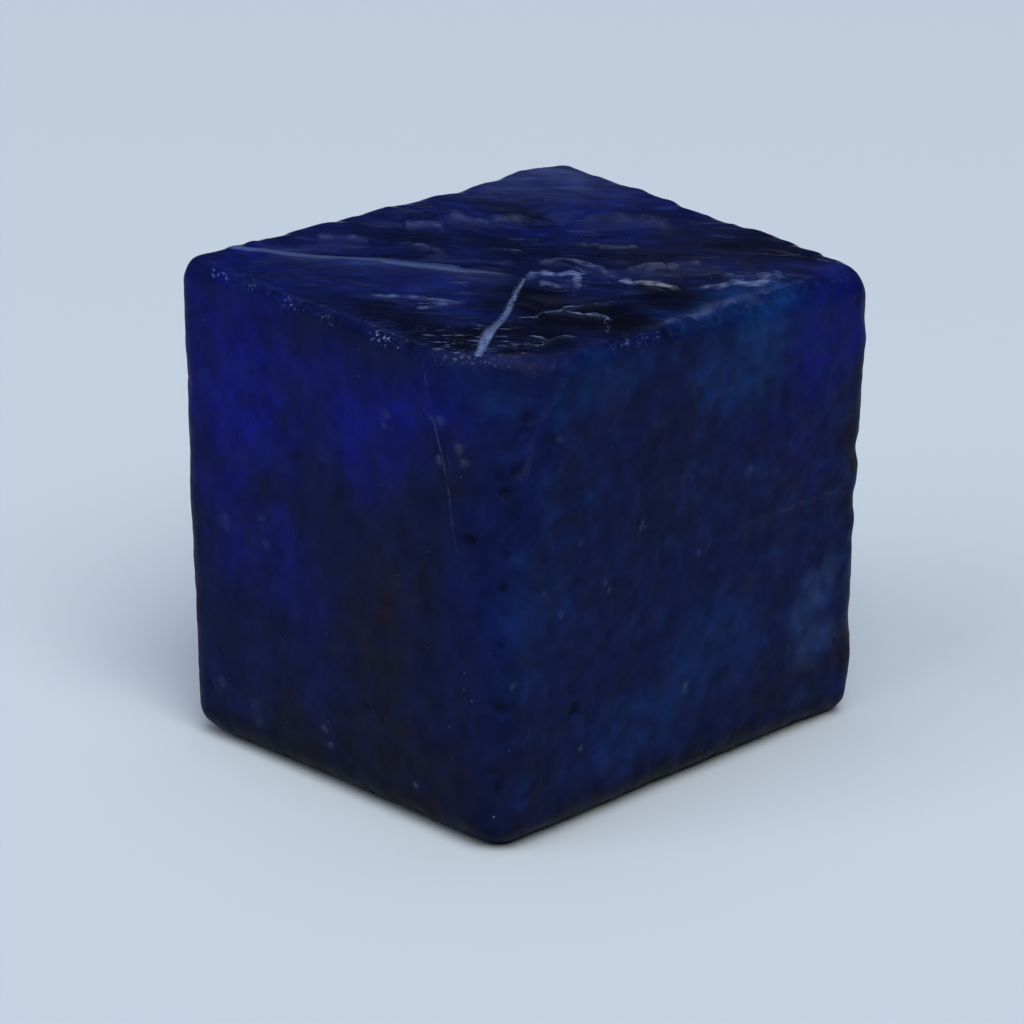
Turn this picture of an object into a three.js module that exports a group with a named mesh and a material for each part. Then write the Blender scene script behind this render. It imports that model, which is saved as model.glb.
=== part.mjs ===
// Rough tanzanite: one crystal fragment, worn to a near-cubic block with a broken, glassy top.
// Millimetres, +Z up. The stone rests on z = 0, and the origin is the middle of its bounding box's underside.
import * as THREE from "three";
import { mergeVertices } from "three/addons/utils/BufferGeometryUtils.js";

// Driving dimensions
const WIDTH = 17.9; // along X, between the faces' middles
const DEPTH = 21.6; // along Y, between the faces' middles
const HEIGHT = 20; // from the underside to the middle of the top
const EDGE_RADIUS = 1.1; // of every worn edge
const SEGMENTS = 22; // along each edge of the block
const EDGE_CROWDING = 0.8; // 0 spaces the segments evenly, 1 crowds them all into the edges

// The four sides stand nearly upright. Heading is the way a side looks in plan, and a negative lean tips
// it downwards, so that the block is a little wider at the top. Both are in degrees.
const SIDES = [
  { heading: 0.1, lean: -0.4, distance: WIDTH / 2 },
  { heading: 89.45, lean: -0.4, distance: DEPTH / 2 },
  { heading: 179.75, lean: -0.6, distance: WIDTH / 2 },
  { heading: -89.3, lean: -0.8, distance: DEPTH / 2 },
];
const TOP_TILT = { x: 2.3, y: 0.6 }; // degrees: the top falls towards +X and a little towards +Y

// The upright edge between +X and -Y is worn to a flat near the top, which narrows downwards.
const WORN_EDGE = { heading: -48, lean: 14.5, cut: 1.6 };

// A straight step crosses the top. It drops behind its crest and comes back as a shallow trough.
const LEDGE = { from: [-7.8, -8.0], to: [1.45, -1.9], drop: 0.2, trough: 1.6 };

// A conchoidal hollow lies beside the step's inner end.
const HOLLOW = { centre: [5.6, -3.7], reach: [3.0, 2.6], depth: 0.35 };

// Swells of the broken top, as waves across it: direction in degrees, length and height.
const SWELL_FADE = 3; // the swells die out over this far from the rim
const SWELLS = [
  { heading: 132, length: 5.2, height: 0.1, phase: 0.6 },
  { heading: 150, length: 8.3, height: 0.08, phase: 2.1 },
  { heading: 75, length: 11, height: 0.06, phase: 4.0 },
];

// The upright edge between +X and +Y is scalloped: height up the edge, how far it stands proud, and half
// length.
const SCALLOPS = [
  { z: 16.3, proud: 0.13, half: 1.2 },
  { z: 11.8, proud: -0.15, half: 0.8 },
  { z: 9.6, proud: -0.16, half: 0.9 },
  { z: 2.9, proud: 0.15, half: 1.1 },
];
const SCALLOP_REACH = 1.5; // from the edge into each side

const SOLVER_STEPS = 24;

const radians = THREE.MathUtils.degToRad;

/** The plane with this outward heading and lean, whose middle height stands `distance` out from the axis. */
function sidePlane({ heading, lean, distance }) {
  const plan = new THREE.Vector3(Math.cos(radians(heading)), Math.sin(radians(heading)), 0);
  const normal = plan.clone().multiplyScalar(Math.cos(radians(lean)));
  normal.z = Math.sin(radians(lean));
  const middle = plan.multiplyScalar(distance).setZ(HEIGHT / 2);
  return new THREE.Plane().setFromNormalAndCoplanarPoint(normal, middle);
}

/** The tilted plane of the top, through the middle of the top face. */
function topPlane() {
  const { x, y } = TOP_TILT;
  const normal = new THREE.Vector3(Math.sin(radians(x)), Math.sin(radians(y)), 1).normalize();
  return new THREE.Plane().setFromNormalAndCoplanarPoint(normal, new THREE.Vector3(0, 0, HEIGHT));
}

/** The plane that flattens the worn upright edge, `cut` inside the place where it would just touch it. */
function wornPlane() {
  const { heading, lean, cut } = WORN_EDGE;
  const { normal } = sidePlane({ heading, lean, distance: 0 });
  const sharpCorner = new THREE.Vector3(WIDTH / 2, -DEPTH / 2, HEIGHT);
  const roundingCentre = sharpCorner.add(new THREE.Vector3(-1, 1, -1).multiplyScalar(EDGE_RADIUS));
  const touching = roundingCentre.addScaledVector(normal, EDGE_RADIUS - cut);
  return new THREE.Plane().setFromNormalAndCoplanarPoint(normal, touching);
}

const PLANES = [
  new THREE.Plane(new THREE.Vector3(0, 0, -1), 0),
  topPlane(),
  wornPlane(),
  ...SIDES.map(sidePlane),
];

/** Signed distance, negative inside, to the planes' common solid with its edges rounded. */
function roundedDistance(point) {
  let sum = 0;
  for (const plane of PLANES) sum += Math.max(plane.distanceToPoint(point) + EDGE_RADIUS, 0) ** 2;
  return Math.sqrt(sum) - EDGE_RADIUS;
}

/** The point where a ray from inside the stone meets its rounded surface. */
function surfacePoint(start, direction) {
  const point = start.clone();
  for (let step = 0; step < SOLVER_STEPS; step += 1) {
    point.addScaledVector(direction, -roundedDistance(point));
  }
  return point;
}

/** A smooth bump that is 1 at 0 and 0 from 1 on. */
function bump(t) {
  return Math.abs(t) < 1 ? (1 - t * t) ** 2 : 0;
}

/** How far the step, its trough and the swells raise the broken top at a point in plan. */
function topRelief(x, y) {
  const from = new THREE.Vector2(...LEDGE.from);
  const run = new THREE.Vector2(...LEDGE.to).sub(from);
  const offset = new THREE.Vector2(x, y).sub(from);
  const along = offset.dot(run) / run.lengthSq();
  const behind = run.clone().normalize().cross(offset);
  const { smoothstep } = THREE.MathUtils;
  const ends = smoothstep(along, -0.15, 0.1) * (1 - smoothstep(along, 0.9, 1.15)); // it fades in and out
  let height = behind > 0 ? -LEDGE.drop * ends * Math.exp(-behind / LEDGE.trough) : 0;
  const [reachX, reachY] = HOLLOW.reach;
  const [centreX, centreY] = HOLLOW.centre;
  height -= HOLLOW.depth * bump(Math.hypot((x - centreX) / reachX, (y - centreY) / reachY));
  const rim = Math.min(WIDTH / 2 - Math.abs(x), DEPTH / 2 - Math.abs(y));
  const inside = smoothstep(rim, 0, SWELL_FADE);
  for (const swell of SWELLS) {
    const across = x * Math.cos(radians(swell.heading)) + y * Math.sin(radians(swell.heading));
    height += inside * swell.height * Math.sin((2 * Math.PI * across) / swell.length + swell.phase);
  }
  return height;
}

/** How far the scalloped upright edge stands proud at a point of the surface. */
function scallopRelief(point) {
  const near = bump((WIDTH / 2 - point.x) / SCALLOP_REACH) * bump((DEPTH / 2 - point.y) / SCALLOP_REACH);
  return SCALLOPS.reduce((sum, { z, proud, half }) => sum + near * proud * bump((point.z - z) / half), 0);
}

/** Crowds evenly spaced positions from -1 to 1 towards both ends. */
function crowd(t) {
  const angle = (Math.PI / 2) * EDGE_CROWDING;
  return Math.sin(t * angle) / Math.sin(angle);
}

/** The whole stone as one closed mesh. */
function stoneGeometry() {
  const blank = new THREE.BoxGeometry(2, 2, 2, SEGMENTS, SEGMENTS, SEGMENTS);
  blank.deleteAttribute("normal");
  blank.deleteAttribute("uv");
  const geometry = mergeVertices(blank);
  const position = geometry.getAttribute("position");
  const half = new THREE.Vector3(WIDTH / 2, DEPTH / 2, HEIGHT / 2);
  const core = half.clone().subScalar(2 * EDGE_RADIUS);
  const middle = new THREE.Vector3(0, 0, HEIGHT / 2);
  const unit = new THREE.Vector3();
  for (let index = 0; index < position.count; index += 1) {
    unit.fromBufferAttribute(position, index);
    const shell = new THREE.Vector3(crowd(unit.x), crowd(unit.y), crowd(unit.z)).multiply(half);
    const start = shell.clone().clamp(core.clone().negate(), core);
    const outward = shell.sub(start).normalize();
    const point = surfacePoint(start.add(middle), outward);
    const upward = Math.max(outward.z, 0) ** 2;
    point.z += upward * topRelief(point.x, point.y);
    const sideways = new THREE.Vector3(outward.x, outward.y, 0);
    point.addScaledVector(sideways, scallopRelief(point));
    position.setXYZ(index, point.x, point.y, point.z);
  }
  geometry.computeBoundingBox();
  const centre = geometry.boundingBox.getCenter(new THREE.Vector3());
  geometry.translate(-centre.x, -centre.y, -geometry.boundingBox.min.z);
  geometry.computeVertexNormals();
  return geometry;
}

const tanzanite = new THREE.MeshStandardMaterial({ color: "#1a1f55", roughness: 0.35, metalness: 0 });
const stone = new THREE.Mesh(stoneGeometry(), tanzanite);
stone.name = "rough_tanzanite";

const part = new THREE.Group();
part.add(stone);

export default part;
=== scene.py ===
"""Rough tanzanite: one worn crystal block with a freshly broken top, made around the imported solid.

The stone is about 20 mm high. Its shape is worked out in millimetres in the stone's own frame, +Z up and
resting on z = 0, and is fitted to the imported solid's box when the mesh is made.
"""

import itertools
import logging
import math
from dataclasses import dataclass
from enum import Enum

import bpy
import numpy as np
from mathutils import Matrix, Vector


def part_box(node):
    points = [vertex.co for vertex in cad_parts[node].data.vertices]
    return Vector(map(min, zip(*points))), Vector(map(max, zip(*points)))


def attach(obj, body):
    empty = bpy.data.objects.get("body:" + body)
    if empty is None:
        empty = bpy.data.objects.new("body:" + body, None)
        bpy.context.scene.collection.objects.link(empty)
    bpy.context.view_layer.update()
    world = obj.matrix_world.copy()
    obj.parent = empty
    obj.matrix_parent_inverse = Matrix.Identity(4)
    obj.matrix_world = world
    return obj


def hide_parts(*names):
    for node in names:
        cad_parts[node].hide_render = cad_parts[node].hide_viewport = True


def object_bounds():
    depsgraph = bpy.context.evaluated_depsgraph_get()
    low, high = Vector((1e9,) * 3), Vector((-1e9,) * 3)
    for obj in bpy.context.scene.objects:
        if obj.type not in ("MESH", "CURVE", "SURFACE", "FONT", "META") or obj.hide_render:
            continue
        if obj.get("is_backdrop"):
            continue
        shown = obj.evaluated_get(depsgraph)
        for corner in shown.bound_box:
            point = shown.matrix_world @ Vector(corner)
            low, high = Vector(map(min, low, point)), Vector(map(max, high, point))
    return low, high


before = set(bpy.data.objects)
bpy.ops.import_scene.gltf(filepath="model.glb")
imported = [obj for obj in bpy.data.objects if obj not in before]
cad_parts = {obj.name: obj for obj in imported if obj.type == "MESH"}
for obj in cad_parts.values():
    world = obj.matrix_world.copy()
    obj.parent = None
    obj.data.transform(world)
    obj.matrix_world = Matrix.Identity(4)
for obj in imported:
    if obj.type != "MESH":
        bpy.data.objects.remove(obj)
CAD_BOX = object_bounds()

LOG = logging.getLogger("rough_tanzanite")
NODE = "rough_tanzanite"
BODY = "root"
GRAIN_HEADING = 44.5  # degrees: the hackles and ripples of the break run this way in plan
FAR = 8.0  # line half widths: past every frosted line
MM_PER_M = 1000.0
EASED = {"interpolation_type": "SMOOTHSTEP"}  # for a node that maps one range to another
COLOURS = {"data_type": "RGBA"}  # for a node that mixes
TINY = 1e-12

Array = np.ndarray
Socket = bpy.types.NodeSocket
Plan = tuple[float, float]  # a point, or a reach along X and along Y
Span = tuple[float, float]  # from and to, or low and high
Place = tuple[float, float, float]


def smoothstep(value: Array, low: float, high: float) -> Array:
    """Eases from 0 at `low` to 1 at `high`."""
    t = np.clip((value - low) / (high - low), 0.0, 1.0)
    return t * t * (3.0 - 2.0 * t)


def dome(t: Array) -> Array:
    """A smooth bump that is 1 at 0 and 0 from 1 on."""
    return np.clip(1.0 - t * t, 0.0, 1.0) ** 2


def between(value: Array, fade_in: Span, fade_out: Span) -> Array:
    """1 between two spans, over which it eases in from 0 and out to 0."""
    return smoothstep(value, *fade_in) * (1.0 - smoothstep(value, *fade_out))


def around(places: Array, middle: Plan | Place, reach: float | Plan) -> Array:
    """A smooth bump that is 1 at a middle and 0 from its reach on."""
    return dome(np.linalg.norm((places - middle) / reach, axis=1))


def unit(vectors: Array) -> Array:
    """The same vectors at length 1."""
    return vectors / np.maximum(np.linalg.norm(vectors, axis=-1, keepdims=True), TINY)


class LatticeNoise:
    """Smooth noise in space that comes out the same on every run."""

    TABLE = 256
    SPREAD = 1.7  # brings one octave to about -1 to 1
    OCTAVE_SHIFT = 17.3  # mm, so that no octave repeats the one before

    def __init__(self, seed: int) -> None:
        """Shuffles the lattice for one seed."""
        draws = np.random.default_rng(seed)
        self.order = np.tile(draws.permutation(self.TABLE), 2).astype(np.int32)
        self.slopes = unit(draws.normal(size=(self.TABLE, 3))).T.astype(np.float32)

    def at(self, places: Array, wavelength: float | Place) -> Array:
        """One octave of noise.

        Args:
            places: points in mm, one a row.
            wavelength: distance between swells in mm, one for all or one for each axis.

        Returns:
            About -1 to 1 for each point.
        """
        scaled = (places / np.asarray(wavelength, float)).T.astype(np.float32)
        floor = np.floor(scaled)
        part = scaled - floor
        ease = part**3 * (part * (part * 6.0 - 15.0) + 10.0)
        x, y, z = floor.astype(np.int32) % self.TABLE
        total = np.zeros(len(places), np.float32)
        for i, j, k in itertools.product((0, 1), repeat=3):
            slope = self.slopes[:, self.order[self.order[self.order[x + i] + y + j] + z + k]]
            rise = slope[0] * (part[0] - i) + slope[1] * (part[1] - j) + slope[2] * (part[2] - k)
            share = np.abs(1 - i - ease[0]) * np.abs(1 - j - ease[1]) * np.abs(1 - k - ease[2])
            total += share * rise
        return total.astype(float) * self.SPREAD

    def fractal(self, places: Array, wavelength: float | Place, octaves: int) -> Array:
        """Several octaves, each half as long and half as high as the one before.

        Args:
            places: points in mm, one a row.
            wavelength: of the first octave, in mm.
            octaves: how many are summed.

        Returns:
            About -1 to 1 for each point.
        """
        total = np.zeros(len(places))
        for octave in range(octaves):
            shifted = places + self.OCTAVE_SHIFT * octave
            total += self.at(shifted, np.asarray(wavelength, float) / 2**octave) / 2**octave
        return total


@dataclass(frozen=True)
class Layer:
    """A sheet of noise: its wavelength in mm, its octaves, its height, and its shift in the lattice."""

    wavelength: float | Place
    octaves: int = 2
    height: float = 1.0
    shift: float = 0.0

    def at(self, places: Array, noise: LatticeNoise) -> Array:
        """The layer at points in mm, from about minus its height to plus its height."""
        return self.height * noise.fractal(places + self.shift, self.wavelength, self.octaves)


class NearbyPoints:
    """Finds the points near a place quickly, through boxes a millimetre wide."""

    SPAN = 64  # boxes along each axis, with the stone's axis in the middle one

    def __init__(self, places: Array) -> None:
        """Sorts the points, in mm, into their boxes.

        Args:
            places: points in mm, one a row.
        """
        self.places = places
        boxes = np.floor(places).astype(np.int64) + self.SPAN // 2
        keys = (boxes[:, 0] * self.SPAN + boxes[:, 1]) * self.SPAN + boxes[:, 2]
        self.order = np.argsort(keys, kind="stable")
        self.keys = keys[self.order]

    def within(self, place: Place, reach: float) -> tuple[Array, Array]:
        """The numbers of the points within `reach` mm of a place, and how far away they are.

        Args:
            place: the middle, in mm.
            reach: how far away a point may be, in mm.

        Returns:
            The points' row numbers and their distances in mm.
        """
        low = np.floor(np.array(place) - reach).astype(int) + self.SPAN // 2
        high = np.floor(np.array(place) + reach).astype(int) + self.SPAN // 2
        found = []
        for x, y in itertools.product(range(low[0], high[0] + 1), range(low[1], high[1] + 1)):
            column = (x * self.SPAN + y) * self.SPAN
            first, last = np.searchsorted(self.keys, [column + low[2], column + high[2] + 1])
            found.append(self.order[first:last])
        numbers = np.concatenate(found)
        away = np.linalg.norm(self.places[numbers] - place, axis=1)
        close = away < reach
        return numbers[close], away[close]


@dataclass(frozen=True)
class PlanPath:
    """A smooth line across the top, seen in plan. It runs from left to right, seen from the front corner."""

    points: tuple[Plan, ...]
    steps: int = 5  # between two points

    def curve(self) -> Array:
        """Points along a Catmull-Rom curve through the path's points.

        Returns:
            The points in mm, one a row.
        """
        ends = np.array(self.points, float)
        if len(ends) == 2:
            return ends
        padded = np.vstack([2 * ends[0] - ends[1], ends, 2 * ends[-1] - ends[-2]])
        line = []
        for a, b, c, d in zip(padded, padded[1:], padded[2:], padded[3:]):
            for t in np.arange(self.steps) / self.steps:
                pull = 2 * b + (c - a) * t
                pull += (2 * a - 5 * b + 4 * c - d) * t**2
                pull += (3 * b - a - 3 * c + d) * t**3
                line.append(pull / 2)
        return np.vstack([line, ends[-1]])

    def measure(self, plan: Array) -> tuple[Array, Array, Array]:
        """Where points lie beside the path.

        Args:
            plan: points in plan, in mm, one a row.

        Returns:
            The distance in mm, whether the point is behind the path, and how far along it is, 0 to 1.
        """
        line = self.curve()
        runs = np.diff(line, axis=0)
        lengths = np.linalg.norm(runs, axis=1)
        reached = np.concatenate([[0.0], np.cumsum(lengths)])
        best = np.full(len(plan), np.inf)
        behind = np.zeros(len(plan), bool)
        along = np.zeros(len(plan))
        for start, run, length, before in zip(line, runs, lengths, reached):
            offset = plan - start
            t = np.clip(offset @ run / length**2, 0.0, 1.0)
            away = np.linalg.norm(offset - t[:, None] * run, axis=1)
            closer = away < best
            best[closer] = away[closer]
            behind[closer] = (run[0] * offset[:, 1] - run[1] * offset[:, 0] > 0)[closer]
            along[closer] = ((before + t * length) / reached[-1])[closer]
        return best, behind, along


@dataclass(frozen=True)
class Side:
    """An upright flat face: the way it looks in plan, its lean in degrees and its distance from the axis."""

    heading: float
    lean: float
    distance: float


@dataclass(frozen=True)
class Wear:
    """A stretch of the stone whose edges are worn rounder, or left crisper where `extra` is negative."""

    place: Place
    reach: float
    extra: float


@dataclass(frozen=True)
class BlockForm:
    """The overall form: seven flat faces that meet in worn, rounded edges. In mm and degrees."""

    width: float = 17.9
    depth: float = 21.6
    height: float = 20.0
    edge_radius: float = 1.1
    top_fall_x: float = 2.3  # the top falls towards +X and a little towards +Y
    top_fall_y: float = 0.6
    worn_heading: float = -48.0  # of the flattened stretch of the front upright edge
    worn_lean: float = 14.5
    worn_cut: float = 1.6
    least_radius: float = 0.3  # of an edge, however crisp
    solver_steps: int = 24
    settle_steps: int = 6
    cells: tuple[int, int, int] = (340, 400, 200)
    wear: tuple[Wear, ...] = (
        Wear((-8.9, -10.8, 0.0), 4.0, 0.1),
        Wear((8.9, 10.8, 0.0), 4.0, -0.1),
        Wear((-8.9, 10.8, 19.0), 4.0, 0.9),
        Wear((8.9, 10.8, 19.2), 4.0, 0.2),
        Wear((8.9, -10.8, 0.0), 5.0, 0.2),
        Wear((-3.0, -10.8, 20.0), 7.0, -0.65),
        Wear((4.0, -10.8, 20.0), 6.0, -0.5),
        Wear((8.9, -3.0, 19.7), 7.0, -0.45),
        Wear((7.2, -9.2, 19.8), 3.5, -0.45),
        Wear((0.0, -10.8, 0.0), 14.0, 0.35),
        Wear((8.9, 0.0, 0.0), 16.0, 0.35),
    )

    def half(self) -> Array:
        """Half the size along each axis."""
        return np.array([self.width, self.depth, self.height]) / 2

    def sides(self) -> tuple[Side, ...]:
        """The four upright faces."""
        return (
            Side(0.1, -0.4, self.width / 2),
            Side(89.45, -0.4, self.depth / 2),
            Side(179.75, -0.6, self.width / 2),
            Side(-89.3, -0.8, self.depth / 2),
        )

    def flats(self) -> tuple[Array, Array]:
        """The seven flats, in the order underside, top, worn edge, sides.

        Returns:
            Their outward directions and how far out each lies, in mm.
        """
        directions = [np.array([0.0, 0.0, -1.0]), self.top_direction()]
        points = [np.zeros(3), np.array([0.0, 0.0, self.height])]
        worn, _ = self.upright(Side(self.worn_heading, self.worn_lean, 0.0))
        low_corner = np.array([1.0, -1.0, 1.0]) * (self.half() - self.edge_radius)
        directions.append(worn)
        points.append(low_corner + [0.0, 0.0, self.height / 2] + worn * (self.edge_radius - self.worn_cut))
        for side in self.sides():
            direction, point = self.upright(side)
            directions.append(direction)
            points.append(point)
        normals = np.array(directions)
        return normals, np.einsum("ij,ij->i", normals, np.array(points))

    def top_direction(self) -> Array:
        """The way the tilted top faces."""
        falls = np.radians([self.top_fall_x, self.top_fall_y])
        return unit(np.array([*np.sin(falls), 1.0]))

    def upright(self, side: Side) -> tuple[Array, Array]:
        """The outward direction of an upright face and a point on it at middle height.

        Args:
            side: the face.

        Returns:
            The two, each as X, Y and Z.
        """
        turn = math.radians(side.heading)
        lean = math.radians(side.lean)
        plan = np.array([math.cos(turn), math.sin(turn), 0.0])
        direction = plan * math.cos(lean) + [0.0, 0.0, math.sin(lean)]
        return direction, plan * side.distance + [0.0, 0.0, self.height / 2]

    def radius(self, places: Array) -> Array:
        """How round the edges are near each point, in mm.

        Args:
            places: points in mm, one a row.

        Returns:
            One radius for each point.
        """
        radius = np.full(len(places), self.edge_radius)
        for spot in self.wear:
            away = np.linalg.norm(places - spot.place, axis=1)
            radius += spot.extra * dome(away / spot.reach)
        return np.maximum(radius, self.least_radius)

    def overhang(self, places: Array, radius: Array) -> Array:
        """How far each point is past the start of each flat's rounding, one column a flat."""
        normals, offsets = self.flats()
        return np.maximum(places @ normals.T - offsets + radius[:, None], 0.0)

    def normal(self, places: Array) -> Array:
        """The outward direction of the rounded form at points on or near its surface."""
        normals, _ = self.flats()
        return unit(self.overhang(places, self.radius(places)) @ normals)

    def settle(self, places: Array) -> Array:
        """The nearest points on the rounded form's surface to points that lie near it.

        Args:
            places: points in mm, one a row.

        Returns:
            The moved points.
        """
        for _ in range(self.settle_steps):
            radius = self.radius(places)
            distance = np.linalg.norm(self.overhang(places, radius), axis=1) - radius
            places = places - distance[:, None] * self.normal(places)
        return places

    def below_top(self, places: Array) -> Array:
        """Height over the top's flat plane in mm, so negative below it."""
        normals, offsets = self.flats()
        return places @ normals[1] - offsets[1]

    def lattice(self) -> tuple[Array, Array]:
        """A closed box of square cells.

        Returns:
            The corners, with each axis from -1 to 1, and the four corners of each cell, counted from outside.
        """
        counts = np.array(self.cells)
        stride = np.array([1, counts[0] + 1, (counts[0] + 1) * (counts[1] + 1)])
        faces = []
        for axis, end in itertools.product(range(3), (0, 1)):
            across, up = (axis + 1) % 3, (axis + 2) % 3
            i, j = np.meshgrid(np.arange(counts[across]), np.arange(counts[up]), indexing="ij")
            first = end * counts[axis] * stride[axis] + i * stride[across] + j * stride[up]
            second = first + stride[across]
            ring = np.stack([first, second, second + stride[up], first + stride[up]], -1).reshape(-1, 4)
            faces.append(ring if end else ring[:, ::-1])
        used, quads = np.unique(np.concatenate(faces), return_inverse=True)
        grid = np.stack([used // step % (count + 1) for step, count in zip(stride, counts)], -1)
        return grid / counts * 2.0 - 1.0, quads.reshape(-1, 4)

    def surface(self, shell: Array) -> tuple[Array, Array]:
        """Puts the lattice's corners on the rounded form.

        Args:
            shell: corners of the lattice, with each axis from -1 to 1.

        Returns:
            The points on the form in mm, and the direction each was pushed out along.
        """
        box = shell * self.half()
        core = self.half() - 2 * self.edge_radius
        start = np.clip(box, -core, core)
        outward = unit(box - start)
        middle = np.array([0.0, 0.0, self.height / 2])
        radius = self.radius(box + middle)
        places = start + middle
        for _ in range(self.solver_steps):
            distance = np.linalg.norm(self.overhang(places, radius), axis=1) - radius
            places = places - distance[:, None] * outward
        return places, outward


@dataclass(frozen=True)
class Crest:
    """A ridge of the broken top, or a groove where `height` is negative, with a frosted line, partly crushed
    and partly a painted highlight. In mm.
    """

    BLUNTNESS = 0.3  # how round the ridge is, as a share of its flanks
    DIES_OUT = 5.0  # flanks or line half widths away
    LEAST_MARGIN = 0.3  # mm
    FADE_IN = (-0.02, 0.1)  # along the path, 0 to 1
    FADE_OUT = (0.85, 1.02)
    FROST_FRINGE = (0.08, 0.25)  # mm past the line's borders, where the frost starts and stops fading

    path: PlanPath
    height: float
    front: float
    behind: float
    frost: float
    line: float = 0.07  # half width of the frosted line

    def raise_and_frost(self, plan: Array) -> tuple[Array, Array, Array]:
        """Works the ridge out at points in plan.

        Args:
            plan: points in plan, in mm, one a row.

        Returns:
            The ridge's height in mm, how frosted it is nearby, and the distance to its frosted line, counted
            in the line's half widths and negative in front of it.
        """
        height = np.zeros(len(plan))
        frost = np.zeros(len(plan))
        offset = np.full(len(plan), FAR)
        curve = self.path.curve()
        margin = max(self.DIES_OUT * max(self.front, self.behind, self.line), self.LEAST_MARGIN)
        near = np.all((plan > curve.min(0) - margin) & (plan < curve.max(0) + margin), axis=1)
        away, behind, along = self.path.measure(plan[near])
        ends = between(along, self.FADE_IN, self.FADE_OUT)
        flank = np.where(behind, self.behind, self.front)
        blunt = self.BLUNTNESS * flank
        height[near] = self.height * ends * np.exp(-(np.hypot(away, blunt) - blunt) / flank)
        fringe = [2 * self.line + past for past in self.FROST_FRINGE]
        frost[near] = self.frost * ends * (1.0 - smoothstep(away, *fringe))
        offset[near] = np.clip(np.where(behind, away, -away) / self.line, -FAR, FAR)
        return height, frost, offset


@dataclass
class FrostedLines:
    """The frosted line nearest to each point: its strength there, and the distance to it in half widths."""

    FAINTEST = 0.01

    frost: Array
    offset: Array

    @classmethod
    def none(cls, count: int) -> "FrostedLines":
        """No line near any of that many points."""
        return cls(np.zeros(count), np.full(count, FAR))

    def add(self, frost: Array, offset: Array) -> None:
        """Takes over the points where this line is the nearer one.

        Args:
            frost: the line's strength at each point, 0 to 1.
            offset: the distance to it, in its half widths.
        """
        closer = (frost > self.FAINTEST) & (np.abs(offset) < np.abs(self.offset))
        self.frost[closer] = frost[closer]
        self.offset[closer] = offset[closer]


@dataclass(frozen=True)
class Feather:
    """A ridge with short side ridges that fan out from it, as on torn glass. Lengths in mm."""

    HEIGHT = 0.4  # of a side ridge, as a share of the main one's
    FROST = 0.6
    FRONT = 0.06
    BEHIND = 0.1
    LINE = 0.024
    LENGTHS = (0.4, 1.0)  # the shortest and the longest, as shares of `length`
    LOOK_AHEAD = 0.1

    crest: Crest
    seed: int
    spacing: float = 0.3
    length: float = 0.55
    spread: float = 28.0  # degrees between a side ridge and the main one

    def crests(self) -> list[Crest]:
        """The main ridge and its side ridges.

        Returns:
            The crests, the main one first.
        """
        draws = np.random.default_rng(self.seed)
        line = self.crest.path.curve()
        reached = np.concatenate([[0.0], np.cumsum(np.linalg.norm(np.diff(line, axis=0), axis=1))])
        crests = [self.crest]
        for at in np.arange(self.spacing, reached[-1], self.spacing):
            start, ahead = (
                np.array([np.interp(spot, reached, line[:, 0]), np.interp(spot, reached, line[:, 1])])
                for spot in (at, at + self.LOOK_AHEAD)
            )
            heading = math.atan2(*(ahead - start)[::-1]) + math.radians(self.spread) * draws.choice([-1, 1])
            reach = self.length * draws.uniform(*self.LENGTHS)
            tip = start + reach * np.array([math.cos(heading), math.sin(heading)])
            path = PlanPath((tuple(start), tuple(tip)))
            height, frost = self.crest.height * self.HEIGHT, self.crest.frost * self.FROST
            crests.append(Crest(path, height, self.FRONT, self.BEHIND, frost, self.LINE))
        return crests


@dataclass(frozen=True)
class Swell:
    """A broad wave of the broken top: the way it runs in degrees, its length, height and phase."""

    heading: float
    length: float
    height: float
    phase: float


@dataclass(frozen=True)
class Ripples:
    """The break's fine relief, drawn out along its grain: folds, faint ripples and hackles. In mm."""

    # the crests bend along and across the grain
    bends: tuple[Layer, Layer] = (Layer(2.3, 1, shift=5.0), Layer(2.3, 1, shift=9.0))
    bend_by: float = 0.35
    plateau: Span = (-5.6, -4.2)  # across the grain, where the plateau before the step ends
    broad: Layer = Layer((4.8, 2.0, 1.0))
    broad_in_front: float = 0.03
    broad_behind: float = 0.1
    fold: Layer = Layer((3.2, 1.4, 1.0), shift=31.0)
    fold_roundness: float = 0.15
    fold_height: float = 0.085
    fine: Layer = Layer((1.2, 0.5, 1.0), height=0.018, shift=50.0)
    hackle: Layer = Layer((1.3, 0.34, 1.0), shift=70.0)
    hackle_height: float = 0.035

    def grain(self, places: Array) -> Array:
        """Points turned so that their first axis runs along the ripples' crests.

        Args:
            places: points in mm, one a row.

        Returns:
            The turned points.
        """
        turn = math.radians(GRAIN_HEADING)
        along = places[:, 0] * math.cos(turn) + places[:, 1] * math.sin(turn)
        across = places[:, 1] * math.cos(turn) - places[:, 0] * math.sin(turn)
        return np.stack([along, across, np.zeros(len(places))], -1)

    def relief(self, places: Array, torn: Array, noise: LatticeNoise) -> Array:
        """The ripples' height.

        Args:
            places: points in mm, one a row.
            torn: how torn into hackles the break is at each point, 0 to 1.
            noise: where what is irregular comes from.

        Returns:
            The height in mm for each point.
        """
        grain = self.grain(places)
        bends = [bend.at(grain, noise) for bend in self.bends]
        bent = grain + self.bend_by * np.stack([*bends, np.zeros(len(places))], -1)
        front = 1.0 - smoothstep(bent[:, 1], *self.plateau)
        back = 1.0 - front
        broad = self.broad.at(bent, noise)
        fold = 1.0 - np.hypot(self.fold.at(bent, noise), self.fold_roundness)
        hackle = 1.0 - np.abs(self.hackle.at(bent, noise))
        behind = self.broad_behind * broad + self.fold_height * fold**2
        height = back * behind + front * (self.broad_in_front * broad + self.fine.at(bent, noise))
        return height + torn * self.hackle_height * (hackle**3 - 0.5)


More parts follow.
